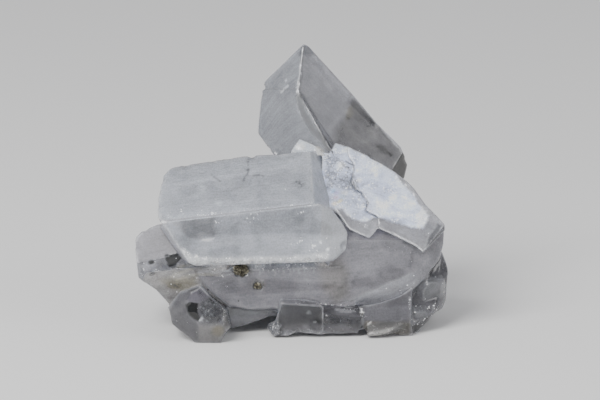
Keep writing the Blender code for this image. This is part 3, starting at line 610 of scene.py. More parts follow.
def step_marks(paint):
    """Its lower part: a clear dark window, veils, the bright broken grains at its foot with painted glints, and
    frost partly painted as light on the shaded faces under it.
    """
    both = "step step_end"
    paint.area(both, [(-24.4, 24.6), (-15.6, 25.6), (-15.2, 21), (-18.8, 20.4), (-21.2, 21.2)], 0.8,
               shade=(0.89, 0.875, 0.86), clear=0.7)
    paint.area(both, [(-23.2, 24.6), (-18.4, 25.2), (-17.8, 23.2), (-21.6, 22.4)], 0.6, shade=0.93, streaks=0.6)
    paint.blot(both, (-17, 22.4), (1.4, 1), shade=0.9)
    paint.blot(both, (-21.2, 24.6), (1.8, 0.6), shade=0.9, dark=0.45)
    paint.blot(both, (-14.6, 24), (1.2, 1.8), shade=0.93, dark=0.4, pale=0.4)
    paint.line(both, [(-16, 25.2), (-16.2, 23.2), (-15.6, 21.2)], 0.1, 0.28, shade=0.86)
    paint.line(both, [(-20.4, 22.2), (-17.8, 21.9)], 0.1, 0.24, shade=1.15)
    paint.blot(both, (-8, 24.8), (2.8, 1.4), shade=1.05, pale=0.55)
    paint.blot(both, (1.6, 24.6), (1, 1.2), shade=0.82)
    paint.blot(both, (1.4, 21.6), (0.8, 1), shade=0.84)
    paint.blot(both, (1.4, 21.6), (0.36, 0.48), shade=1.12)
    paint.area(both, [(-0.8, 20.4), (4, 20.8), (9, 21.2), (10, 19.2), (7.6, 17.4), (1.6, 17.6)], 1.8,
               shade=1.16, pale=0.35)
    paint.area(both, [(-22, 20), (-18.4, 19), (-0.4, 19), (1.6, 16), (-19.4, 15.4), (-21.4, 17.2)], 2,
               shade=1.06)
    # frost on the step's broken foot and on the faces under it, partly real and partly painted light, as these
    # faces lie in the step's shadow
    paint.line(both + " step_foot", [(-21.8, 18), (-20, 16.4), (-15.4, 16), (-6.4, 16.2), (1.6, 16.4),
                                     (6.6, 17.2)], 0.6, 1, to=FROST, amount=0.7, pale=0.9, clear=0.3)
    paint.area("other broken", [(-21.2, 18.4), (-6.4, 18), (8.4, 19.2), (8.8, 16.8), (1.6, 15.2),
                                (-20.4, 14.8)], 0.6, to=FROST, amount=0.8, pale=0.9, clear=0.3, rough=0.2)
    paint.line("step_foot slab_top", [(-21.8, 17.6), (-20, 15.8), (-15.4, 15.5), (-6.4, 15.6), (1.6, 15.8),
                                      (6.6, 16.6)], 0.6, 1, to=FROST, amount=0.5, pale=0.7, clear=0.3)
    paint.blot(both, (1.4, 26), (1.2, 0.6), turn=20, shade=1.15, pale=0.5)
    # painted glints along the broken foot, which also stand for bright broken grains
    crumbs_and_glints = [(-19, 17.2), (-21.6, 18), (-17.4, 16.6), (4.2, 19.2), (7, 18.4), (5.8, 19.8), (-9.4, 16.6),
              (-6, 16.7)]
    for middle in crumbs_and_glints:
        paint.blot(both + " step_foot other", middle, (0.44, 0.28), turn=-20, to=WHITE, amount=0.9, pale=0.9,
                   clear=0.1)
    paint.line(both, [(-17.6, 20.24), (-15.8, 20.48)], 0.16, 0.18, to=WHITE)


def left_marks(paint):
    """The block on the left: dark windows painted black for the dark seen through them, bright fibres and a
    brown stain.
    """
    both = "left_top left_low stained stained_end"
    paint.blot("left_top", (-29.2, 17.6), (0.6, 0.7), shade=0.85)
    paint.area("left_top", [(-26.8, 23.4), (-22.4, 24), (-21.2, 21.2), (-24.4, 20.4)], 1.4, shade=0.85)
    paint.line("left_top", [(-31, 17), (-28.4, 17.7), (-25.2, 18.4)], 0.12, 0.32, shade=0.85)
    # painted shade: black in the clear windows, for the dark seen through them
    paint.area(both, [(-25.4, 17.4), (-22.8, 17.9), (-22, 16.8), (-23, 15.2), (-24.6, 14.8), (-25.4, 16.2)],
               0.6, to=BLACK, amount=0.98, clear=0.05, rough=0.1)
    paint.blot(both, (-28.2, 15.9), (1.04, 0.72), turn=15, to=BLACK, amount=0.98, clear=0.05, rough=0.1)
    paint.blot(both, (-28, 13.7), (0.8, 0.36), turn=15, shade=0.62, clear=0.85)
    paint.blot(both, (-27.6, 14.4), (0.72, 0.28), turn=8, to=WHITE, amount=0.7)
    paint.blot(both, (-30.2, 16), (0.6, 1), shade=0.85)
    fibres = [((-24, 14.4), (-21.6, 15.2), 0.6), ((-23.6, 13.7), (-20, 14.5), 0.8),
              ((-24.2, 13), (-21, 14), 0.5), ((-23.2, 12.4), (-20.4, 13.4), 0.45),
              ((-22.8, 15), (-19.2, 15.5), 0.5), ((-20, 13.5), (-15.8, 13.6), 0.6)]
    for start, end, amount in fibres:
        paint.line(both, [start, end], 0.2, 0.28, to=(0.78, 0.76, 0.66), amount=amount)
    paint.area(both, [(-26.4, 12.4), (-19.2, 13.2), (-19, 11.6), (-21.4, 10), (-24.8, 10.8)], 1.6,
               shade=(0.86, 0.83, 0.68))
    paint.blot(both, (-23.4, 11.2), (1.8, 0.68), turn=5, shade=(0.84, 0.82, 0.72), dark=0.8)
    paint.blot(both, (-24.6, 9), (0.8, 0.4), shade=0.7)


def slab_marks(paint):
    """The long lower crystal: fibres under the step, dirt at the pyrite, brown veils and scratches, painted
    shade on a lit rim and painted light on a shaded bevel.
    """
    every = "slab slab_top right_slab right_slab_up right_slab_low right_slab_end"
    paint.area(every, [(-16.8, 16), (-12, 16.2), (-11.6, 13.2), (-14, 11.6), (-16.8, 13.4)], 1.4, shade=0.92,
               pale=0.3)
    paint.area("slab slab_top", [(-14.8, 12.4), (-11.4, 13.2), (-10.4, 10.4), (-14, 10), (-16.6, 11.6)], 1.2,
               shade=0.86)
    paint.blot(every, (-13.2, 11.8), (1.6, 0.6), shade=0.9, pale=0.3)
    paint.area(every, [(-8, 15.2), (4, 16), (4.8, 14), (-7.6, 13.4)], 1, shade=0.93, streaks=0.9)
    # painted shade on the lit rim of the slab's top face; the next line darkens a bright line along the right
    # slab's upper edge
    paint.line(every, [(-12, 14.4), (-4.4, 14.6), (1.6, 14.9), (10, 15)], 0.3, 0.44, shade=0.72)
    paint.line(every, [(10.8, 20.4), (21.2, 20.4)], 0.24, 0.4, shade=0.85)
    for number in range(20):
        x, fourth, fifth = -7.2 + 0.6 * number, 3 * number % 4, (3 * number + 1) % 5
        paint.line(every, [(x, 15.6 - 0.2 * fourth), (x + 0.24, 14.4 - 0.2 * fifth)], 0.1, 0.24, to=FROST,
                   amount=0.16 + 0.07 * fifth)
    paint.area(every, [(-0.4, 16.8), (4, 17.2), (4.4, 15.2), (0, 15)], 1, shade=0.85)
    for middle, radii in (((-9.8, 14.4), (2.2, 1.6)), ((-6.9, 11.5), (1.6, 1.2))):
        paint.blot(every + " other", middle, radii, shade=(0.86, 0.84, 0.76), dark=1.0)
    paint.area(every, [(5.2, 16), (9.8, 16.8), (11.4, 14), (11.4, 9.2), (8.8, 7.8), (6, 10.4)], 2.4,
               shade=(0.87, 0.84, 0.76), streaks=0.7)
    fibres = [((-19.2, 15.6), (-15.6, 16), 0.6), ((-17.8, 14.8), (-13.2, 15.2), 0.6),
              ((-16, 14), (-12, 14.4), 0.5), ((-14, 13.2), (-11.2, 13.6), 0.35),
              ((-18.6, 14), (-16.2, 14.3), 0.5)]
    for start, end, amount in fibres:
        paint.line(every + " stained_end stained other", [start, end], 0.12, 0.32, to=FROST, amount=amount,
                   pale=0.5)
    scratches = [((6.8, 9.4), (9.8, 10.8)), ((7.2, 8.4), (10.8, 9.8)), ((6.2, 10.8), (9, 12.2)),
                 ((10.6, 11.6), (11.4, 13.8)), ((12.4, 11.8), (13.2, 14)), ((7.6, 7.6), (12, 8.4))]
    for start, end in scratches:
        paint.line(every, [start, end], 0.1, 0.26, shade=0.72)
    paint.line(every, [(6.8, 10), (10, 11.6)], 0.12, 0.3, shade=1.2)
    paint.blot(every, (-6.8, 11.5), (1.4, 0.8), shade=(0.78, 0.76, 0.66))
    paint.blot(every, (-6.6, 8.6), (1.2, 0.6), shade=0.82)
    paint.blot(every, (-15.6, 10.2), (0.8, 0.4), shade=1.15)
    # painted light on the slab's lower left bevel, which lies in shade
    paint.line(every, [(-16.4, 11.2), (-14.8, 8.4), (-12, 7.4)], 0.5, 1, shade=1.08)
    paint.line(every, [(11.6, 18.1), (18.6, 18.2), (21.2, 17.2)], 0.16, 0.5, shade=1.08)
    paint.area(every, [(18.6, 11.4), (23.2, 13.2), (25.2, 11.6), (22.4, 9.2), (16, 8.2), (14.8, 9.2)], 1.8,
               shade=1.1, streaks=0.5)
    paint.line(every, [(11, 7.3), (15.2, 7.6), (19.6, 8.6), (23.2, 10.8), (25.6, 13.2)], 0.24, 0.5, shade=1.22,
               pale=0.3)
    paint.blot(every, (18.8, 19.4), (2.8, 1), shade=0.92)
    paint.area("right_slab_up right_slab",
               [(10.6, 24), (15.2, 20.4), (21.6, 22), (28, 18.4), (25.6, 17.2), (11.6, 19.4)], 1.6, shade=0.9)
    paint.line(every, [(-2, 7.2), (-10.4, 6.4), (-15.4, 7.6)], 0.2, 0.6, shade=1.12)
    paint.line(every, [(6, 7.6), (11.6, 7)], 0.2, 0.48, shade=1.25, pale=0.4)


WHITE_PATCH = [(5.4, 38.6), (9, 39.8), (11.6, 38.8), (15, 37.2), (17.6, 35.9), (20, 34.4), (21.4, 32.6),
               (23.1, 30.7), (24.6, 29), (25.5, 27.4), (26.6, 26.4), (27.2, 25.2), (27, 23.8), (26, 22.8),
               (24.2, 22.9), (21.6, 23.6), (19.4, 24.1), (17.2, 25), (16.72, 24.8), (15.08, 24.2), (13.8, 24),
               (12, 24.6), (9.8, 26.4), (5.4, 27.4)]


def plate_marks(paint):
    """The two plates: their pearly white patch, its cracks and colours, painted glints and clear bevels."""
    both = "plate under_plate"
    paint.area(both, WHITE_PATCH, 0.44, to=(0.66, 0.72, 0.9), clear=0.16, rough=0.25, clouds=1.0,
               streaks=0.6, pale=0.5)
    patches = [((14.8, 36.4), (1.6, 1), 0.86), ((16.8, 31.4), (2.6, 1), 0.9), ((12, 36.4), (1.2, 1.6), 0.88),
               ((20.6, 26.8), (2.4, 1), 0.93), ((10.6, 38.4), (1.2, 0.6), 1.35), ((16.6, 34), (1, 1.2), 1.3),
               ((20.4, 29.2), (1.4, 0.8), 1.4), ((17.6, 35.2), (1.2, 0.5), 1.3), ((22.4, 29), (0.6, 0.4), 1.35),
               ((12, 26.2), (1.8, 1.2), 1.2), ((15.2, 24.6), (1, 0.6), 1.25), ((25.8, 24.8), (1.4, 1.6), 1.35),
               ((8.4, 34.4), (1, 1.4), 1.2), ((23.6, 27.4), (1.6, 0.8), 1.15)]
    for middle, radii, shade in patches:
        paint.blot(both, middle, radii, turn=20, shade=shade)
    paint.area(both, [(7, 38.4), (9.6, 37.2), (11.8, 34.8), (13, 31.2), (11, 30.2), (9.2, 30.8), (7, 30)], 1.8,
               shade=0.74, dark=1.0)
    paint.line(both, [(12, 32.8), (13.6, 30), (14.8, 28)], 0.8, 1, shade=0.9, dark=0.7)
    paint.line(both, [(9, 32.2), (10.2, 32.8), (11.6, 31.8), (12.8, 30.4)], 0.5, 0.8, shade=0.76, dark=0.9)
    paint.line(both, [(7.2, 36.8), (7.5, 34), (7.3, 31.2)], 0.5, 0.8, shade=0.78, dark=0.9)
    paint.area(both, [(11.6, 38.2), (12.8, 38.4), (14, 37.2), (13, 36), (11.4, 36.4)], 0.8, shade=0.78,
               dark=0.5)
    paint.line(both, ZIGZAG, 0.1, 0.22, shade=0.42)
    paint.line(both, [(13.8, 31), (14.4, 31.6), (15.1, 31.8)], 0.1, 0.22, shade=0.6)
    paint.line(both, [(14.1, 29.8), (13.4, 29), (12.7, 28.5)], 0.08, 0.22, shade=0.7)
    paint.line(both, [(20.8, 30.5), (22.4, 30.3), (23.2, 30.6)], 0.08, 0.22, shade=0.78)
    glints = [((16.8, 33.2), (0.4, 0.4)), ((15.96, 34.2), (0.52, 0.44)), ((20.2, 29.2), (0.72, 0.4)),
              ((22.8, 28.8), (0.52, 0.4)), ((21.4, 25.26), (0.32, 0.32)), ((13.4, 32.2), (0.6, 0.6)),
              ((9.8, 35.4), (1, 1)), ((18.2, 27.4), (1.6, 1)), ((10.6, 29.8), (0.8, 0.6))]
    for middle, radii in glints:
        paint.blot(both, middle, radii, to=WHITE, amount=0.75)
    for turn in range(7):
        angle = math.radians(60 - 24 * turn)
        ray = [(25.2 + reach * math.cos(angle), 25 + reach * math.sin(angle)) for reach in (0.8, 2.1)]
        paint.line(both, ray, 0.24, 0.28, to=WHITE, amount=0.7)
    rainbow = [((8.2, 30.1), (0.42, 0.62, 0.92)), ((9, 29.8), (0.62, 0.58, 0.9)),
               ((8.8, 28.9), (0.8, 0.62, 0.78)), ((9.6, 28.1), (0.9, 0.82, 0.5)),
               ((8.5, 27.8), (0.82, 0.72, 0.56)), ((10.2, 29.2), (0.6, 0.72, 0.85)),
               ((10.8, 27.2), (0.66, 0.74, 0.88))]
    for middle, colour in rainbow:
        paint.blot(both, middle, (0.64, 0.44), turn=20, to=colour, amount=0.75, dark=0.2)
    below = [(7.6, 27), (9.8, 26.2), (12, 24.4), (13.8, 23.7), (15.8, 24.2), (16.8, 24.6), (19.4, 23.9),
             (21.8, 23.4), (24.2, 22.7), (26, 22.5)]
    paint.line("plate under_plate", below, 0.14, 0.24, shade=0.8)
    paint.area(both, [(9.8, 25.6), (12, 24), (14, 23.4), (16.8, 24.4), (15.6, 20.2), (12, 22)], 0.6, shade=0.95)
    paint.blot(both, (14.8, 23.1), (0.48, 0.48), to=WHITE, amount=0.8, pale=0.9)
    paint.line(both, [(16.8, 24.4), (16, 22.6), (15.3, 20.4)], 0.2, 0.28, shade=1.18)
    paint.line(both, [(11, 22.4), (15.4, 20.2)], 0.16, 0.32, shade=1.2)
    paint.line(both, [(18.6, 23.2), (21.2, 21.8), (24, 20.4)], 0.12, 0.3, shade=0.86)
    paint.line(both, [(17.8, 22.6), (22, 20.6), (26.2, 18)], 0.24, 0.4, shade=1.15, pale=0.4)
    paint.blot(both, (27.2, 22), (0.6, 1), shade=1.15, pale=0.5)
    paint.area("plate plate_end", [(26.6, 18.6), (27.2, 20.6), (29.2, 23.8), (30, 23.2), (28.2, 20.6)], 0.3,
               shade=0.62, clear=0.8)
    paint.line("plate plate_end", [(26.5, 18.6), (27.2, 20.8), (29.2, 23.9)], 0.1, 0.24, to=FROST, amount=0.5)


def bar_marks(paint):
    """The tall crystal: its frosted ridge with painted shade over its highlight, painted shade on the bevel,
    scratches and the smoky part.
    """
    paint.line("cap side", [(2.1, 59.2), (2.1, 57), (1.8, 53.4), (1, 51.4), (0.9, 49.2), (1.2, 46.2),
                            (2, 44.4)], 0.06, 0.2, to=FROST, amount=0.22, pale=0.6)
    # painted shade over the ridge's highlight; the white knots lighten it in places
    paint.line("cap side", [(2.1, 59.2), (1.8, 53.4), (1, 49.2)], 0.32, 0.32, shade=0.55)
    for knot in ((1.1, 50.2), (0.9, 51), (1, 49), (1.2, 47), (1.3, 46), (2.1, 58.2), (1.9, 55.2), (1.7, 53.6)):
        paint.blot("cap side", knot, (0.18, 0.26), to=WHITE, amount=0.7)
    paint.line("cap", [(-2.1, 50), (-0.8, 51.2)], 0.16, 0.2, to=FROST, amount=0.8)
    paint.blot("cap", (-1.26, 52.48), (0.32, 0.32), to=FROST, amount=0.8)
    paint.blot("cap", (2.8, 58), (0.6, 0.6), to=FROST, amount=0.4)
    paint.area("cap", [(-0.4, 54.4), (1.6, 53.6), (0.8, 49.2), (-1.2, 49.2)], 1.8, shade=0.93)
    paint.line("cap", [(-6.4, 49.4), (-6.8, 45.4), (-6.8, 41.8), (-4.8, 38.8)], 0.3, 1, shade=1.12)
    paint.line("cap", [(2.2, 59.4), (-1.4, 56.8), (-5, 53.2)], 0.2, 0.8, shade=1.12)
    # painted shade: the bevel's dark band, as it faces away from the light, and darker lines over the
    # highlights on its edges
    paint.line("cap cap_bevel side", [(1.4, 48.8), (2.2, 45.8), (4.2, 42.6), (7.6, 38.8)], 0.7, 0.6, shade=0.45,
               rough=0.5)
    paint.line("cap cap_bevel side", [(1.6, 49.8), (4, 45.6), (6, 41.4), (7.4, 38.4)], 0.5, 0.4, shade=0.42)
    paint.line("side", [(4.4, 56.4), (7.6, 52.8), (11, 49)], 1, 1, shade=1.12, clear=0.42)
    paint.area("cap_bevel side", [(2.2, 46), (3.2, 45.6), (5.2, 42.8), (8.2, 39.4), (7, 38.6), (4, 42)], 0.6,
               shade=0.72)
    paint.line("side", [(1.8, 50.8), (2.4, 46.8), (5.2, 43), (8.8, 39.2)], 0.16, 0.6, shade=0.9)
    paint.line("side", [(3.6, 45.2), (6, 42.8), (8.4, 40.2)], 0.6, 0.8, shade=1.12)
    paint.line("side", [(2.8, 59.2), (9.6, 51.4), (17.2, 42.8), (22.4, 37.4)], 0.32, 0.6, shade=1.18)
    paint.line("side", [(7, 51.6), (8.2, 49.6)], 0.2, 0.6, shade=1.14)
    smoke = [(12.2, 49.4), (11.6, 47.8), (10.6, 45.2), (9.4, 43.6), (8.4, 42.4), (8.4, 39.2), (12, 38.4),
             (17.6, 35.8), (21.2, 33.6), (23.2, 36.4), (21.6, 40.4), (16.6, 46)]
    paint.area("side", smoke, 2.4, shade=(0.6, 0.585, 0.56), clear=0.7, rough=0.12, clouds=0.95)
    paint.blot("side", (11.4, 45.8), (0.8, 1.8), turn=-20, to=(0.17, 0.155, 0.11), amount=0.6)
    rng = random.Random(14)
    for number in range(70):
        middle = (rng.uniform(9.2, 21.6), rng.uniform(48.8, 35.2))
        size = rng.uniform(0.3, 1)
        if inside(np.array([middle[0]]), np.array([middle[1]]), smoke)[0] > 0.2:
            paint.blot("side", middle, (size, size * rng.uniform(0.3, 0.7)), turn=rng.uniform(-70, -20),
                       shade=1.3 if number % 3 == 0 else 0.68, amount=0.55)
    smoky = [((13.2, 45.2), (2, 1.2), 0.06, 0.45), ((16, 41.8), (1.8, 0.8), 0.3, 0.4),
             ((12.4, 41.2), (1.8, 1), 0.26, 0.35), ((14.8, 39.8), (1.6, 0.6), 0.28, 0.35),
             ((13, 46.8), (1, 0.6), 0.25, 0.4), ((18.4, 38.4), (2, 0.9), 0.03, 0.7),
             ((19.8, 37.6), (0.68, 0.4), 0.0, 0.9), ((17, 39.2), (0.8, 0.4), 0.02, 0.6),
             ((10.6, 42.8), (1.2, 1), 0.28, 0.3), ((20.8, 35.4), (1, 0.6), 0.26, 0.4)]
    for middle, radii, tone, amount in smoky:
        paint.blot("side", middle, radii, turn=-45, to=(tone, tone * 0.98, tone * 0.95), amount=amount,
                   clear=0.85 - 0.5 * amount)
    paint.line("side", [(12.2, 49.2), (17.6, 43), (21.6, 38.6), (23, 36.4)], 0.08, 0.36, to=FROST, amount=0.5)
    paint.line("side", [(7.6, 42.8), (8.8, 44), (10.6, 46)], 0.2, 0.6, shade=1.2)
    paint.blot("side", (18.6, 38.2), (0.1, 0.1), to=WHITE, amount=0.7)
    paint.line("side", [(12.2, 49.4), (11.5, 47.6), (10.8, 45.6)], 0.16, 0.44, shade=1.3)
    paint.line("side tip", [(21, 35.2), (22.4, 37.4), (22.8, 38)], 0.14, 0.28, shade=1.7)
    paint.area("tip", [(20.8, 36.8), (22.6, 38), (22.2, 34.8), (21.2, 34)], 0.6, shade=0.62)
    paint.line("tip", [(23.1, 37.2), (22.8, 34)], 0.3, 0.3, shade=1.5)


def chip_marks(paint):
    """The bluish white chip between the crystals, and dirt beside it."""
    paint.area("chip other", [(-0.6, 37.2), (0.2, 39.2), (1.4, 40.6), (2.8, 40.4), (4.6, 39.4), (4.8, 37.2)],
               0.4, to=(0.7, 0.78, 0.96), amount=0.9, pale=0.8)
    paint.blot("chip other", (1.8, 39), (1.2, 0.8), to=WHITE, amount=0.7)
    paint.area("chip other cap cap_bevel", [(4.6, 39.2), (6, 38.6), (7, 37), (5.2, 37.2)], 0.5,
               to=(0.84, 0.81, 0.74), amount=0.9, dark=0.4)


def stub_marks(paint):
    """The stub that points forward: black painted shade for the dark seen through its clear end, and specks
    behind it.
    """
    front_side = "stub_front stub_left stub_left_2 stub_left_3 stub_right stub_low"
    # painted shade: the black where the dark shows through the stub's clear end
    paint.area(front_side, [(-21.4, 7.6), (-20.4, 8.2), (-18.6, 8), (-18.6, 6), (-18, 4), (-19.2, 4),
                            (-21, 5.6)], 0.6, to=(0.002, 0.0025, 0.003), amount=1.0, clear=0.0, rough=0.05,
               streaks=0, clouds=0)
    paint.area(front_side, [(-18.4, 7.8), (-16.4, 8.8), (-14.2, 7.8), (-13.6, 6), (-14.4, 4.2), (-16.8, 3.8),
                            (-18.2, 4.8)], 0.8, shade=0.6, clear=0.85, rough=0.08, clouds=0.9, dark=0.7)
    paint.blot(front_side, (-15.8, 8), (1.8, 1), turn=-25, to=BLACK, amount=0.95, clear=0.05, rough=0.1)
    rng = random.Random(11)
    for number in range(60):
        middle = (rng.uniform(-18.2, -13.8), rng.uniform(8.2, 4.2))
        size = rng.uniform(0.1, 0.3)
        paint.blot(front_side, middle, (size, size * rng.uniform(0.4, 0.8)), turn=rng.uniform(0, 180),
                   to=(0.26, 0.275, 0.29) if number % 2 else (0.01, 0.012, 0.014), amount=0.75, clear=0.3)
    for x, y in ((-17.1, 6.2), (-16.2, 6.5), (-18, 4.6)):
        paint.line(front_side, [(x - 0.4, y - 0.4), (x, y + 0.3), (x + 0.44, y)], 0.1, 0.18, to=FROST,
                   amount=0.8)
    paint.area("stub_front", [(-21.2, 8.8), (-18.4, 11), (-16.2, 9), (-18.4, 8.2), (-20.4, 8)], 0.8,
               shade=(0.9, 0.86, 0.93))
    paint.line(front_side, [(-21, 8.2), (-21.2, 6.8), (-20.2, 4.8), (-18.6, 3.4)], 0.16, 0.4, shade=1.2)
    paint.line(front_side, [(-16, 8.8), (-14.2, 7.6), (-13.3, 6.2), (-13.6, 4)], 0.24, 0.36, shade=1.4,
               pale=0.6)
    paint.blot(front_side, (-14.8, 2.2), (1.6, 1.2), shade=(1.05, 0.98, 0.78))
    paint.line("stub_low stub_front", [(-19.2, 3.8), (-17.2, 2.8), (-14.4, 3.6)], 0.24, 0.6, shade=1.15)
    paint.blot("stub_left stub_left_2", (-21.9, 5.7), (0.8, 0.5), shade=0.78)


def base_marks(paint):
    """The dark blocks at the foot: mottling, dirt, frost, worn edges, a painted shadow in a slit and a painted
    light line over a shaded gap.
    """
    both = "base base_top base_left base_step base_step_top"
    paint.line(both, [(-1.8, 8.2), (1.6, 8.2), (4.8, 7.8), (5.8, 7.2)], 0.12, 0.32, shade=1.1)
    rng = random.Random(12)
    for number in range(26):
        middle = (rng.uniform(2.4, 9.6), rng.uniform(5.2, 2.6))
        size = rng.uniform(0.4, 0.9)
        paint.blot(both, middle, (size, size * rng.uniform(0.4, 0.8)), turn=rng.uniform(-40, 40),
                   shade=1.5 if number % 3 == 0 else 0.4, amount=0.5)
    paint.blot(both, (3.5, 6), (0.52, 0.26), to=FROST, amount=0.75)
    paint.blot(both, (4.54, 4), (0.36, 0.24), to=FROST, amount=0.5)
    paint.area(both, [(-2, 3.2), (10.6, 3.6), (13, 2.4), (10.6, 1.2), (-1.6, 1.2)], 1, shade=1.15, clear=0.4,
               pale=0.1, dark=0.3)
    for start, end in (((8.6, 6.5), (12, 6.2)), ((9.6, 6), (12.6, 6)), ((9, 7.2), (12, 6.8))):
        paint.line(both + " slab right_slab right_slab_low", [start, end], 0.1, 0.2, to=FROST, amount=0.3)
    paint.blot(both, (7.8, 6.2), (1, 0.8), shade=0.7)
    paint.blot(both, (14.2, 5.8), (0.8, 1), shade=(1.05, 1.02, 0.85), dark=0.5)
    base = "right_base right_base_low"
    paint.line(base, [(15.6, 4.1), (22.6, 4.3)], 0.12, 0.32, shade=0.8)
    paint.line(base, [(15.4, 6.6), (23.4, 7)], 0.12, 0.4, shade=1.12)
    paint.area(base, [(14.8, 4), (18.4, 3.8), (18.4, 2), (16.4, 2)], 1, shade=(1.15, 1.02, 0.78))
    paint.area(base + " other broken", [(14.4, 4), (23.6, 4.2), (23.6, 0.4), (14.4, 0.8)], 0.8,
               shade=(0.8, 0.77, 0.68), clouds=1.0, dark=0.35, rough=0.25)
    # painted light: a thin light line over the shaded gap between the blocks
    paint.line(base + " rear_right", [(23.6, 8.8), (23.5, 6.6)], 0.16, 0.28, shade=1.5, pale=0.9)
    paint.area("rear_right rear_right_end rear_right_low",
               [(24.4, 6.8), (29.2, 7.8), (29.6, 5.6), (26.4, 3.2), (24, 3.2)], 1.2, shade=1.2, pale=0.5)
    paint.area("rear_right rear_right_end", [(27.6, 17.2), (29.8, 18), (31.4, 14.4), (31, 11.6), (28.4, 12.4)],
               1, shade=0.82)
    paint.line("rear_right rear_right_end", [(31.4, 13.4), (31.4, 9.2), (29.6, 6.8)], 0.24, 0.6, shade=1.2)
    paint.area("recess", [(-12.6, 6.6), (-9.2, 7), (-7.2, 5.6), (-10.4, 5)], 0.8, shade=0.88)
    paint.line("recess", [(-12, 4.2), (-8.8, 4.6), (-5.6, 5.2)], 0.4, 0.6, shade=1.25)
    # painted shadow in the slit between the slab and the block below
    paint.line("recess slab", [(-5.2, 5.8), (-3, 6)], 0.24, 0.28, shade=0.45)


RIDGE_RIGHT = 1.6       # where the tall crystal's ridge is
RIDGE_SLOPE, RIDGE_CURVE = 0.6, 0.07    # how the streaks beside it fall
ABOVE_ALL = 68.4        # a height above the tip
STEEP = 0.9             # the part of a streak's heading that points out of a face that it can't lie in
APART = 3.7             # between the noise of one face's streaks and the next one's


def streak_places(surface, zone):
    """Coordinates along and across the streaks of each face, at each corner."""
    flat, _ = surface.normals()
    angles = np.radians(np.array([look.streak_angle for look in LOOKS]))[zone]
    heading = np.cos(angles)[:, None] * np.array(RIGHT) + np.sin(angles)[:, None] * np.array(UP)
    steep = np.abs(np.sum(flat * heading, axis=1)) > STEEP
    heading[steep] = np.array(AWAY)
    heading = unit(heading - flat * np.sum(flat * heading, axis=1, keepdims=True))
    corners = surface.points[surface.triangles]
    along = np.einsum("tcx,tx->tc", corners, heading)
    across = np.einsum("tcx,tx->tc", corners, np.cross(flat, heading))
    x, y = surface.in_view()
    chosen = zone == list(ZONES).index("cap")           # its streaks curve down from the ridge
    away = RIDGE_RIGHT - x[surface.triangles[chosen]]
    along[chosen] = away
    across[chosen] = ABOVE_ALL - y[surface.triangles[chosen]] - RIDGE_SLOPE * away - RIDGE_CURVE * away ** 2
    return np.stack([along, across, np.repeat(zone[:, None] * APART, 3, axis=1)], axis=-1).reshape(-1, 3)


def barite():
    """The fine, worn and marked surface, in place of the CAD's cluster."""
    surface = Surface(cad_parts["barite_cluster"].data)
    surface.refine()
    zone = zone_of_faces(surface)[surface.cad_face]
    paint = Paint(surface, zone, *wear(surface, zone))
    for mark in (roof_marks, step_marks, left_marks, slab_marks, plate_marks, bar_marks, chip_marks, stub_marks,
                 base_marks, edge_marks):
        mark(paint)

    mesh = bpy.data.meshes.new("barite")
    mesh.from_pydata(surface.points * MM, [], surface.triangles.tolist())
    one = np.ones(len(paint.colour))
    write(mesh, "tint", "FLOAT_COLOR", "color", np.column_stack([paint.colour, one]))
    write(mesh, "finish", "FLOAT_COLOR", "color", np.column_stack([paint.finish[:, :2], one, one]))
    write(mesh, "detail", "FLOAT_COLOR", "color", paint.finish[:, 2:])
    write(mesh, "grain", "FLOAT_VECTOR", "vector", streak_places(surface, zone))
    mesh.shade_smooth()
    mesh.set_sharp_from_angle(angle=math.radians(60))
    obj = shown("barite", mesh, barite_material())
    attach(obj, "root")
    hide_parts("barite_cluster")
    return surface


def shown(name, mesh, material):
    """The scene's new object with the mesh and the material."""
    obj = bpy.data.objects.new(name, mesh)
    bpy.context.scene.collection.objects.link(obj)
    mesh.materials.append(material)
    return obj


def write(mesh, name, kind, key, values):
    """Keeps the values at the mesh's corners under the name."""
    layer = mesh.attributes.new(name, kind, "CORNER")
    layer.data.foreach_set(key, np.ascontiguousarray(values, dtype=np.float32).ravel())


# ---------- Broken grains on the crystals, and pyrite ----------

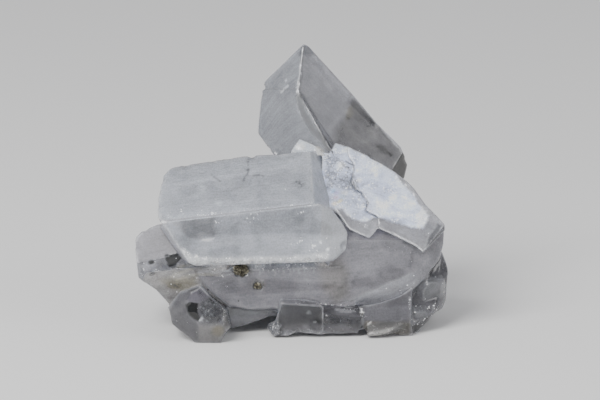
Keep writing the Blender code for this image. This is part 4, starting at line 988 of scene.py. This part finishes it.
# where the small broken grains lie: (line, half width, how many, smallest, largest)
GRAIN_LINES = [
    ([(-22.4, 17.8), (-20, 16.4), (-15.4, 16.1), (-8.4, 16.2), (1.6, 16.4), (5.6, 17)], 0.36, 300, 0.08, 0.34),
    ([(-17.4, 15.2), (-11.4, 15.3), (-6, 15.4)], 0.44, 50, 0.08, 0.3),
    ([(-21.2, 17.2), (-19.2, 16.4), (-16.4, 16.2)], 0.5, 50, 0.15, 0.5),
    ([(-10.8, 25), (-8, 24.4), (-5.6, 25.2)], 1, 26, 0.06, 0.16),
    ([(-24.8, 25), (-17.4, 25.7), (-10.4, 26.3), (-2.4, 27)], 0.16, 110, 0.06, 0.17),
    ([(-2.4, 27), (5.2, 27.8)], 0.24, 24, 0.06, 0.17),
    ([(-19.6, 15.2), (-12, 14.4)], 0.9, 80, 0.08, 0.26),
    ([(0, 37.8), (1.6, 40), (4, 39.2)], 0.6, 36, 0.08, 0.24),
    ([(-26.8, 26), (-25.8, 24.8), (-24, 24.6)], 0.52, 34, 0.08, 0.24),
    ([(-28.8, 14.2), (-26.8, 14.4)], 0.32, 18, 0.12, 0.36),
    ([(-24.8, 14.8), (-22.4, 13.6), (-19.2, 13.2)], 0.8, 34, 0.08, 0.26),
    ([(-30.4, 14), (-28, 11.6), (-26.4, 10.4)], 0.4, 26, 0.1, 0.34),
    ([(-16, 12.4), (-11.2, 10.8)], 1, 22, 0.06, 0.2),
    ([(-12, 15.8), (-8.8, 13)], 0.9, 24, 0.1, 0.3),
    ([(4.4, 38.8), (6.8, 37.2)], 0.6, 30, 0.16, 0.5),
    ([(7.6, 39.2), (10.6, 39.2), (14.8, 37.6)], 0.3, 34, 0.08, 0.26),
    ([(7.8, 38.4), (7.6, 31.4)], 0.3, 22, 0.08, 0.22),
    ([(12, 24.4), (14.8, 23.2), (17, 24.6)], 0.3, 14, 0.08, 0.26),
    ([(25.2, 26.8), (27.4, 24.8), (26, 22.8)], 0.6, 26, 0.08, 0.2),
    ([(-4.4, 4), (-1.6, 1.2)], 0.9, 24, 0.1, 0.36),
    ([(8.4, 6.7), (12.8, 6.3)], 0.3, 26, 0.08, 0.22),
    ([(13, 6.6), (14.8, 4.8)], 0.6, 24, 0.1, 0.32),
    ([(23.6, 9.2), (23.5, 6.6)], 0.18, 18, 0.08, 0.24),
    ([(24.4, 6.8), (29.6, 6.2)], 1, 40, 0.05, 0.16),
    ([(24, 4), (28.4, 3.2)], 0.8, 12, 0.06, 0.18),
    ([(-15.6, 8.8), (-13.4, 6.6), (-13.8, 4)], 0.28, 26, 0.08, 0.24),
    ([(-21.2, 4), (-18.4, 2), (-15.2, 0.8)], 0.5, 20, 0.08, 0.26),
    ([(-2, 2.2), (10.6, 1.6)], 0.4, 26, 0.08, 0.26),
    ([(14.8, 3.4), (23.2, 1.6)], 0.8, 18, 0.08, 0.22),
    ([(-18.6, 7.4), (-14, 4.4)], 1.2, 18, 0.06, 0.16),
    ([(28.8, 20.4), (30.8, 16)], 0.4, 16, 0.08, 0.22),
    ([(18.4, 19.6), (20.4, 18.4)], 0.6, 9, 0.06, 0.16),
    ([(22.4, 18.8), (24, 16)], 0.6, 14, 0.06, 0.2),
    ([(27.6, 14.4), (30.8, 12.4)], 0.8, 9, 0.06, 0.18),
    ([(-6, 14.8), (5.2, 14.8)], 0.5, 26, 0.06, 0.2),
]
GRAIN_FINISH = (0.35, 0.12, 0, 0.2, 0, 0.1)     # in the order of FINISH
GRAIN_TONES = (0.5, 1.0)
GRAIN_SUNK = 0.12       # of its size, into the crystal
SCATTER = 0.6           # about the line, over the half width
LOWEST_GRAIN = 0.6      # above the floor
GRAINS_HOLD = -0.25     # a normal's upward part, below which no grain lies
GRAIN_FACES = [(0, 2, 4), (2, 1, 4), (1, 3, 4), (3, 0, 4), (2, 0, 5), (1, 2, 5), (3, 1, 5), (0, 3, 5)]


def rough_grain(rng, size):
    """The corners of a small angular grain about its middle, for GRAIN_FACES."""
    spin = Euler([rng.uniform(0, math.tau) for _ in range(3)]).to_matrix()
    corners = []
    for axis in range(3):
        for sign in (1, -1):
            corner = Vector([rng.uniform(-0.12, 0.12) * size for _ in range(3)])
            corner[axis] = sign * size * rng.uniform(0.25, 0.6)
            corners.append(spin @ corner)
    return corners


def barite_grains(surface):
    """Small bright broken grains on the crystals' ledges and rough faces."""
    rng = random.Random(5)
    tree = BVHTree.FromPolygons([Vector(point) for point in surface.points], surface.triangles.tolist())
    eye = place(*VIEW_MIDDLE, -VIEW_DISTANCE)
    points, faces, tints = [], [], []
    for line, width, count, smallest, largest in GRAIN_LINES:
        for _ in range(count):
            index = rng.randrange(len(line) - 1)
            share, (ax, ay), (bx, by) = rng.random(), line[index], line[index + 1]
            x = ax + share * (bx - ax) + rng.gauss(0, SCATTER) * width
            y = ay + share * (by - ay) - rng.gauss(0, SCATTER) * width
            at, normal, _, _ = tree.ray_cast(eye, (place(x, y) - eye).normalized())
            if at is None or at.z < LOWEST_GRAIN or normal.z < GRAINS_HOLD:
                continue
            size = smallest + (largest - smallest) * rng.random() ** 2
            middle = at - normal * size * GRAIN_SUNK
            faces += [tuple(len(points) + corner for corner in face) for face in GRAIN_FACES]
            points += [middle + corner for corner in rough_grain(rng, size)]
            tints += [rng.uniform(*GRAIN_TONES)] * len(GRAIN_FACES)
    mesh = bpy.data.meshes.new("barite_grains")
    mesh.from_pydata([point * MM for point in points], [], faces)
    shade = np.repeat(tints, 3)
    one = np.ones(len(shade))
    clear, rough, *detail = GRAIN_FINISH
    write(mesh, "tint", "FLOAT_COLOR", "color", np.column_stack([shade * 0.97, shade, shade * 1.03, one]))
    write(mesh, "finish", "FLOAT_COLOR", "color", np.outer(one, (clear, rough, 1, 1)))
    write(mesh, "detail", "FLOAT_COLOR", "color", np.outer(one, detail))
    obj = shown("barite_grains", mesh, bpy.data.materials["barite"])
    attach(obj, "root")


NEST_CUBE, SMALL_NEST_CUBE = 0.34, 0.24     # the cubes' mean size
CUBE_SIZES = (0.5, 1.3)     # over the mean size
CUBE_TILT = 0.5             # in radians
CUBE_RAISED = 0.1           # of its size
CUBES_PER_SIZE = 1.5        # on a square of a cube's size


def pyrite(name, size, seed):
    """A nest of small intergrown cubes over the nest's solid."""
    rng = random.Random(seed)
    bm = bmesh.new()
    bm.from_mesh(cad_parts[name].data)
    bmesh.ops.triangulate(bm, faces=bm.faces)
    spots = []
    for face in bm.faces:
        count = face.calc_area() / (size * MM) ** 2 * CUBES_PER_SIZE
        for _ in range(int(count + rng.random())):
            a, b = sorted((rng.random(), rng.random()))
            corners = [vert.co for vert in face.verts]
            spots.append((corners[0] * a + corners[1] * (b - a) + corners[2] * (1 - b), face.normal.copy()))
    for at, normal in spots:
        side = size * MM * rng.uniform(*CUBE_SIZES)
        spin = Euler([rng.gauss(0, CUBE_TILT) for _ in range(3)]).to_matrix().to_4x4()
        bmesh.ops.create_cube(bm, size=side, matrix=Matrix.Translation(at + normal * side * CUBE_RAISED) @ spin)
    mesh = bpy.data.meshes.new(name + "_grains")
    bm.to_mesh(mesh)
    bm.free()
    obj = shown(name + "_grains", mesh, pyrite_material())
    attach(obj, "root")
    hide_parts(name)


def pyrite_material():
    """Dull, tarnished brassy metal."""
    made = bpy.data.materials.get("pyrite grains")
    if made:
        return made
    graph = Graph("pyrite grains")
    place_on = graph.node("ShaderNodeTexCoord").outputs["Object"]
    cells = graph.node("ShaderNodeTexVoronoi", {"feature": "F1"}, Vector=place_on, Scale=2600).outputs["Color"]
    patch = graph.node("ShaderNodeSeparateColor", Color=cells).outputs[0]
    tarnish = graph.noise(place_on, 1500, 3)
    colour = graph.mix(graph.range(patch, 0.2, 0.9), (0.16, 0.15, 0.115, 1), (0.42, 0.392, 0.3, 1))
    colour = graph.mix(graph.range(tarnish, 0.42, 0.62), colour, (0.1, 0.094, 0.075, 1))
    graph.feed(graph.shader.inputs["Base Color"], colour)
    graph.feed(graph.shader.inputs["Roughness"], graph.range(tarnish, 0.4, 0.65, 0.3, 0.6))
    bump = graph.node("ShaderNodeBump", Strength=0.3, Distance=0.00005, Height=tarnish)
    graph.feed(graph.shader.inputs["Normal"], bump.outputs[0])
    graph.shader.inputs["Metallic"].default_value = 1.0
    return graph.material


class Graph:
    """A material's nodes, made and joined by short calls."""

    def __init__(self, name):
        self.material = bpy.data.materials.new(name)
        self.material.use_nodes = True
        self.tree = self.material.node_tree
        self.shader = self.tree.nodes["Principled BSDF"]

    def node(self, kind, settings=None, **inputs):
        made = self.tree.nodes.new(kind)
        for key, value in (settings or {}).items():
            setattr(made, key, value)
        for key, value in inputs.items():
            socket = made.inputs[int(key[1:])] if key[0] == "_" else made.inputs[key.replace("_", " ")]
            self.feed(socket, value)
        return made

    def feed(self, socket, value):
        if isinstance(value, bpy.types.NodeSocket):
            self.tree.links.new(value, socket)
        else:
            socket.default_value = value

    def math(self, operation, first, second=0.0, third=0.0, clamp=False):
        made = self.node("ShaderNodeMath", {"operation": operation, "use_clamp": clamp})
        for socket, value in zip(made.inputs, (first, second, third)):
            self.feed(socket, value)
        return made.outputs[0]

    def times(self, first, second):
        return self.math("MULTIPLY", first, second)

    def plus(self, first, second):
        return self.math("ADD", first, second)

    def range(self, value, low, high, to_low=0.0, to_high=1.0):
        return self.node("ShaderNodeMapRange", {"interpolation_type": "SMOOTHSTEP"}, Value=value, From_Min=low,
                         From_Max=high, To_Min=to_low, To_Max=to_high).outputs[0]

    def noise(self, vector, scale, detail=2.0, roughness=0.5, distortion=0.0):
        return self.node("ShaderNodeTexNoise", Vector=vector, Scale=scale, Detail=detail, Roughness=roughness,
                         Distortion=distortion).outputs["Fac"]

    def mix(self, share, first, second):
        made = self.node("ShaderNodeMix", {"data_type": "RGBA"})
        for socket, value in ((made.inputs[0], share), (made.inputs[6], first), (made.inputs[7], second)):
            self.feed(socket, value)
        return made.outputs[2]

    def attribute(self, name):
        return self.node("ShaderNodeAttribute", {"attribute_name": name})

    def specks(self, vector, scale, density, size):
        """Specks of a random size in some of the cells, in clusters, as many as the density says."""
        cells = self.node("ShaderNodeTexVoronoi", {"feature": "F1"}, Vector=vector, Scale=scale)
        chance = self.node("ShaderNodeSeparateColor", Color=cells.outputs["Color"])
        cluster = self.range(self.noise(vector, scale * 0.3, 2.0), 0.45, 0.7, 0.1, 2.2)
        present = self.math("LESS_THAN", chance.outputs[0], self.times(density, cluster))
        radius = self.math("MULTIPLY_ADD", chance.outputs[1], size, size * 0.35)
        round_ = self.math("SUBTRACT", 1.0, self.math("DIVIDE", cells.outputs["Distance"], radius), clamp=True)
        return self.times(present, self.range(round_, 0.0, 0.5))

    def glitter(self, vector, scale, amount):
        """Painted glints: single bright cells, in clusters, more where the amount is larger."""
        cells = self.node("ShaderNodeTexVoronoi", {"feature": "F1"}, Vector=vector,
                          Scale=scale).outputs["Color"]
        chance = self.node("ShaderNodeSeparateColor", Color=cells).outputs[1]
        cluster = self.range(self.noise(vector, scale * 0.13, 2.0), 0.4, 0.66)
        share = self.times(self.range(amount, 0.12, 1.0, 0.0, 0.34), cluster)
        return self.times(self.math("LESS_THAN", chance, share), 0.7)

    def cracks(self, vector, scale, amount):
        """Thin cracks between uneven cells, where the amount is above a third."""
        bent = self.node("ShaderNodeTexNoise", Vector=vector, Scale=scale * 0.8, Detail=3.0).outputs["Color"]
        vector = self.node("ShaderNodeVectorMath", {"operation": "MULTIPLY_ADD"}, _0=bent,
                           _1=(0.6 / scale,) * 3, _2=vector).outputs[0]
        edges = self.node("ShaderNodeTexVoronoi", {"feature": "DISTANCE_TO_EDGE"}, Vector=vector, Scale=scale)
        lines = self.range(edges.outputs["Distance"], 0.05, 0.2, 1.0, 0.0)
        broken = self.range(self.noise(vector, scale * 0.6, 2.0), 0.38, 0.56)
        return self.times(self.times(lines, broken), self.range(amount, 0.33, 0.85, 0.0, 0.7))

    def scaled(self, vector, x, y, z):
        return self.node("ShaderNodeVectorMath", {"operation": "MULTIPLY"}, _0=vector, _1=(x, y, z)).outputs[0]


BARITE_IOR = 1.64
SCATTER_REACH = 0.006       # of light in the milky parts, in metres
SCATTER_COLOUR = (0.92, 0.96, 1.0)
ABSORBED_COLOUR, ABSORPTION = (0.6, 0.62, 0.64, 1), 28.0        # per metre


def barite_material():
    """Clear to milky crystal, with the looks and marks that the mesh's corners keep."""
    graph = Graph("barite")
    shader = graph.shader
    place_on = graph.node("ShaderNodeTexCoord").outputs["Object"]
    grain = graph.attribute("grain").outputs["Vector"]
    tint = graph.attribute("tint").outputs["Color"]
    finish = graph.node("ShaderNodeSeparateColor", Color=graph.attribute("finish").outputs["Color"])
    detail_node = graph.attribute("detail")
    detail = graph.node("ShaderNodeSeparateColor", Color=detail_node.outputs["Color"])
    streaks, clouds, dark = (detail.outputs[index] for index in range(3))
    pale = detail_node.outputs["Alpha"]

    cloud = graph.noise(place_on, 210, 3, 0.5, 0.6)
    mottle = graph.noise(place_on, 900, 3, 0.55, 0.4)
    grit = graph.noise(place_on, 3400, 2, 0.6)
    satin = graph.noise(graph.scaled(grain, 0.7, 2.2, 1), 1.0, 2, 0.6)
    streak = graph.noise(graph.scaled(grain, 0.16, 2.6, 1), 1.0, 4, 0.6)
    broad = graph.noise(graph.scaled(grain, 0.05, 0.45, 1), 1.0, 2, 0.5)

    def swing(value, amount, strength):
        return graph.times(graph.math("SUBTRACT", value, 0.5), graph.times(amount, strength))

    shade = graph.plus(swing(cloud, clouds, 1.3), swing(mottle, clouds, 0.4))
    shade = graph.plus(shade, swing(streak, streaks, 0.9))
    shade = graph.plus(shade, graph.range(grit, 0.25, 0.75, -0.16, 0.16))
    shade = graph.plus(shade, graph.range(satin, 0.3, 0.7, -0.07, 0.07))
    shade = graph.plus(shade, swing(broad, streaks, 0.8))
    shade = graph.math("MAXIMUM", graph.plus(shade, 1.0), 0.3)
    colour = graph.node("ShaderNodeVectorMath", {"operation": "SCALE"}, _0=tint, Scale=shade).outputs[0]
    dark_specks = graph.specks(place_on, 1300, graph.times(dark, 0.6), 0.3)
    # the pale specks are pale grains and painted glints; the glitter is painted glints
    pale_specks_and_glints = graph.specks(place_on, 1900, graph.range(pale, 0.1, 1.0, 0.0, 0.6), 0.3)
    colour = graph.mix(graph.times(dark_specks, 0.75), colour, (0.05, 0.05, 0.045, 1))
    glitter = graph.glitter(place_on, 4000, pale)
    colour = graph.mix(glitter, colour, (1.0, 1.0, 1.0, 1))
    crackle = graph.cracks(place_on, 1500, dark)
    colour = graph.mix(crackle, colour, (0.16, 0.16, 0.17, 1))
    colour = graph.mix(graph.times(pale_specks_and_glints, 0.9), colour, (0.95, 0.97, 1.0, 1))
    graph.feed(shader.inputs["Base Color"], colour)

    clear = graph.math("ADD", graph.range(cloud, 0.35, 0.65, 0.04, -0.04), finish.outputs[0], clamp=True)
    graph.feed(shader.inputs["Transmission Weight"],
               graph.times(clear, graph.math("SUBTRACT", 1.0, graph.math("MAXIMUM", pale_specks_and_glints, glitter))))
    rough = graph.plus(finish.outputs[1], graph.range(mottle, 0.3, 0.7, -0.02, 0.03))
    graph.feed(shader.inputs["Roughness"], graph.math("MAXIMUM", rough, 0.04))
    height = graph.plus(swing(streak, streaks, 1.0), swing(mottle, clouds, 0.5))
    height = graph.plus(height, graph.times(pale_specks_and_glints, 0.5))
    bump = graph.node("ShaderNodeBump", Strength=0.12, Distance=0.0001, Height=height)
    graph.feed(shader.inputs["Normal"], bump.outputs[0])
    shader.inputs["IOR"].default_value = BARITE_IOR
    shader.inputs["Subsurface Weight"].default_value = 1.0
    shader.inputs["Subsurface Radius"].default_value = SCATTER_COLOUR
    shader.inputs["Subsurface Scale"].default_value = SCATTER_REACH
    volume = graph.node("ShaderNodeVolumeAbsorption", Color=ABSORBED_COLOUR, Density=ABSORPTION)
    graph.tree.links.new(volume.outputs[0], graph.tree.nodes["Material Output"].inputs["Volume"])
    return graph.material


# ---------- Floor, light and camera ----------

FLOOR = 6                               # half its width, in metres as the lights' places are
PART_MIDDLE = Vector((0, 0, 0.025))
KEY_LIGHT = (-0.4, -0.55, 0.6), 0.5, 9.6        # place, size and power
FILL_LIGHT = (0.75, -0.45, 0.15), 0.6, 3.6
SKY_COLOUR, SKY_STRENGTH = (0.95, 0.96, 1.0, 1), 0.56


def studio():
    """A pale floor and soft light."""
    mesh = bpy.data.meshes.new("floor")
    bm = bmesh.new()
    bmesh.ops.create_grid(bm, x_segments=1, y_segments=1, size=FLOOR)
    bm.to_mesh(mesh)
    bm.free()
    floor = bpy.data.objects.new("floor", mesh)
    bpy.context.scene.collection.objects.link(floor)
    graph = Graph("floor")
    graph.shader.inputs["Base Color"].default_value = (0.84, 0.835, 0.82, 1)
    graph.shader.inputs["Roughness"].default_value = 0.8
    mesh.materials.append(graph.material)

    world = bpy.data.worlds.new("studio")
    bpy.context.scene.world = world
    world.use_nodes = True
    sky = world.node_tree.nodes["Background"].inputs
    sky["Color"].default_value = SKY_COLOUR
    sky["Strength"].default_value = SKY_STRENGTH
    soft_light("key", *KEY_LIGHT)
    soft_light("fill", *FILL_LIGHT)


def soft_light(name, at, size, power):
    """A square light that faces the middle of the part."""
    data = bpy.data.lights.new(name, "AREA")
    data.size = size
    data.energy = power
    light = bpy.data.objects.new(name, data)
    light.location = at
    light.rotation_euler = (PART_MIDDLE - Vector(at)).to_track_quat("-Z", "Y").to_euler()
    bpy.context.scene.collection.objects.link(light)


def camera():
    """The camera, square to the front plane."""
    data = bpy.data.cameras.new("camera")
    data.sensor_width = SENSOR
    data.lens = LENS
    data.clip_end = 20
    obj = bpy.data.objects.new("camera", data)
    basis = Matrix((RIGHT, UP, -AWAY)).transposed()
    at = (place(*VIEW_MIDDLE) - AWAY * VIEW_DISTANCE) * MM
    obj.matrix_world = Matrix.Translation(at) @ basis.to_4x4()
    bpy.context.scene.collection.objects.link(obj)
    bpy.context.scene.camera = obj


def main():
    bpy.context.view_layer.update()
    surface = barite()
    barite_grains(surface)
    pyrite("pyrite_nest", NEST_CUBE, 1)
    pyrite("pyrite_small_nest", SMALL_NEST_CUBE, 2)
    studio()
    camera()


main()
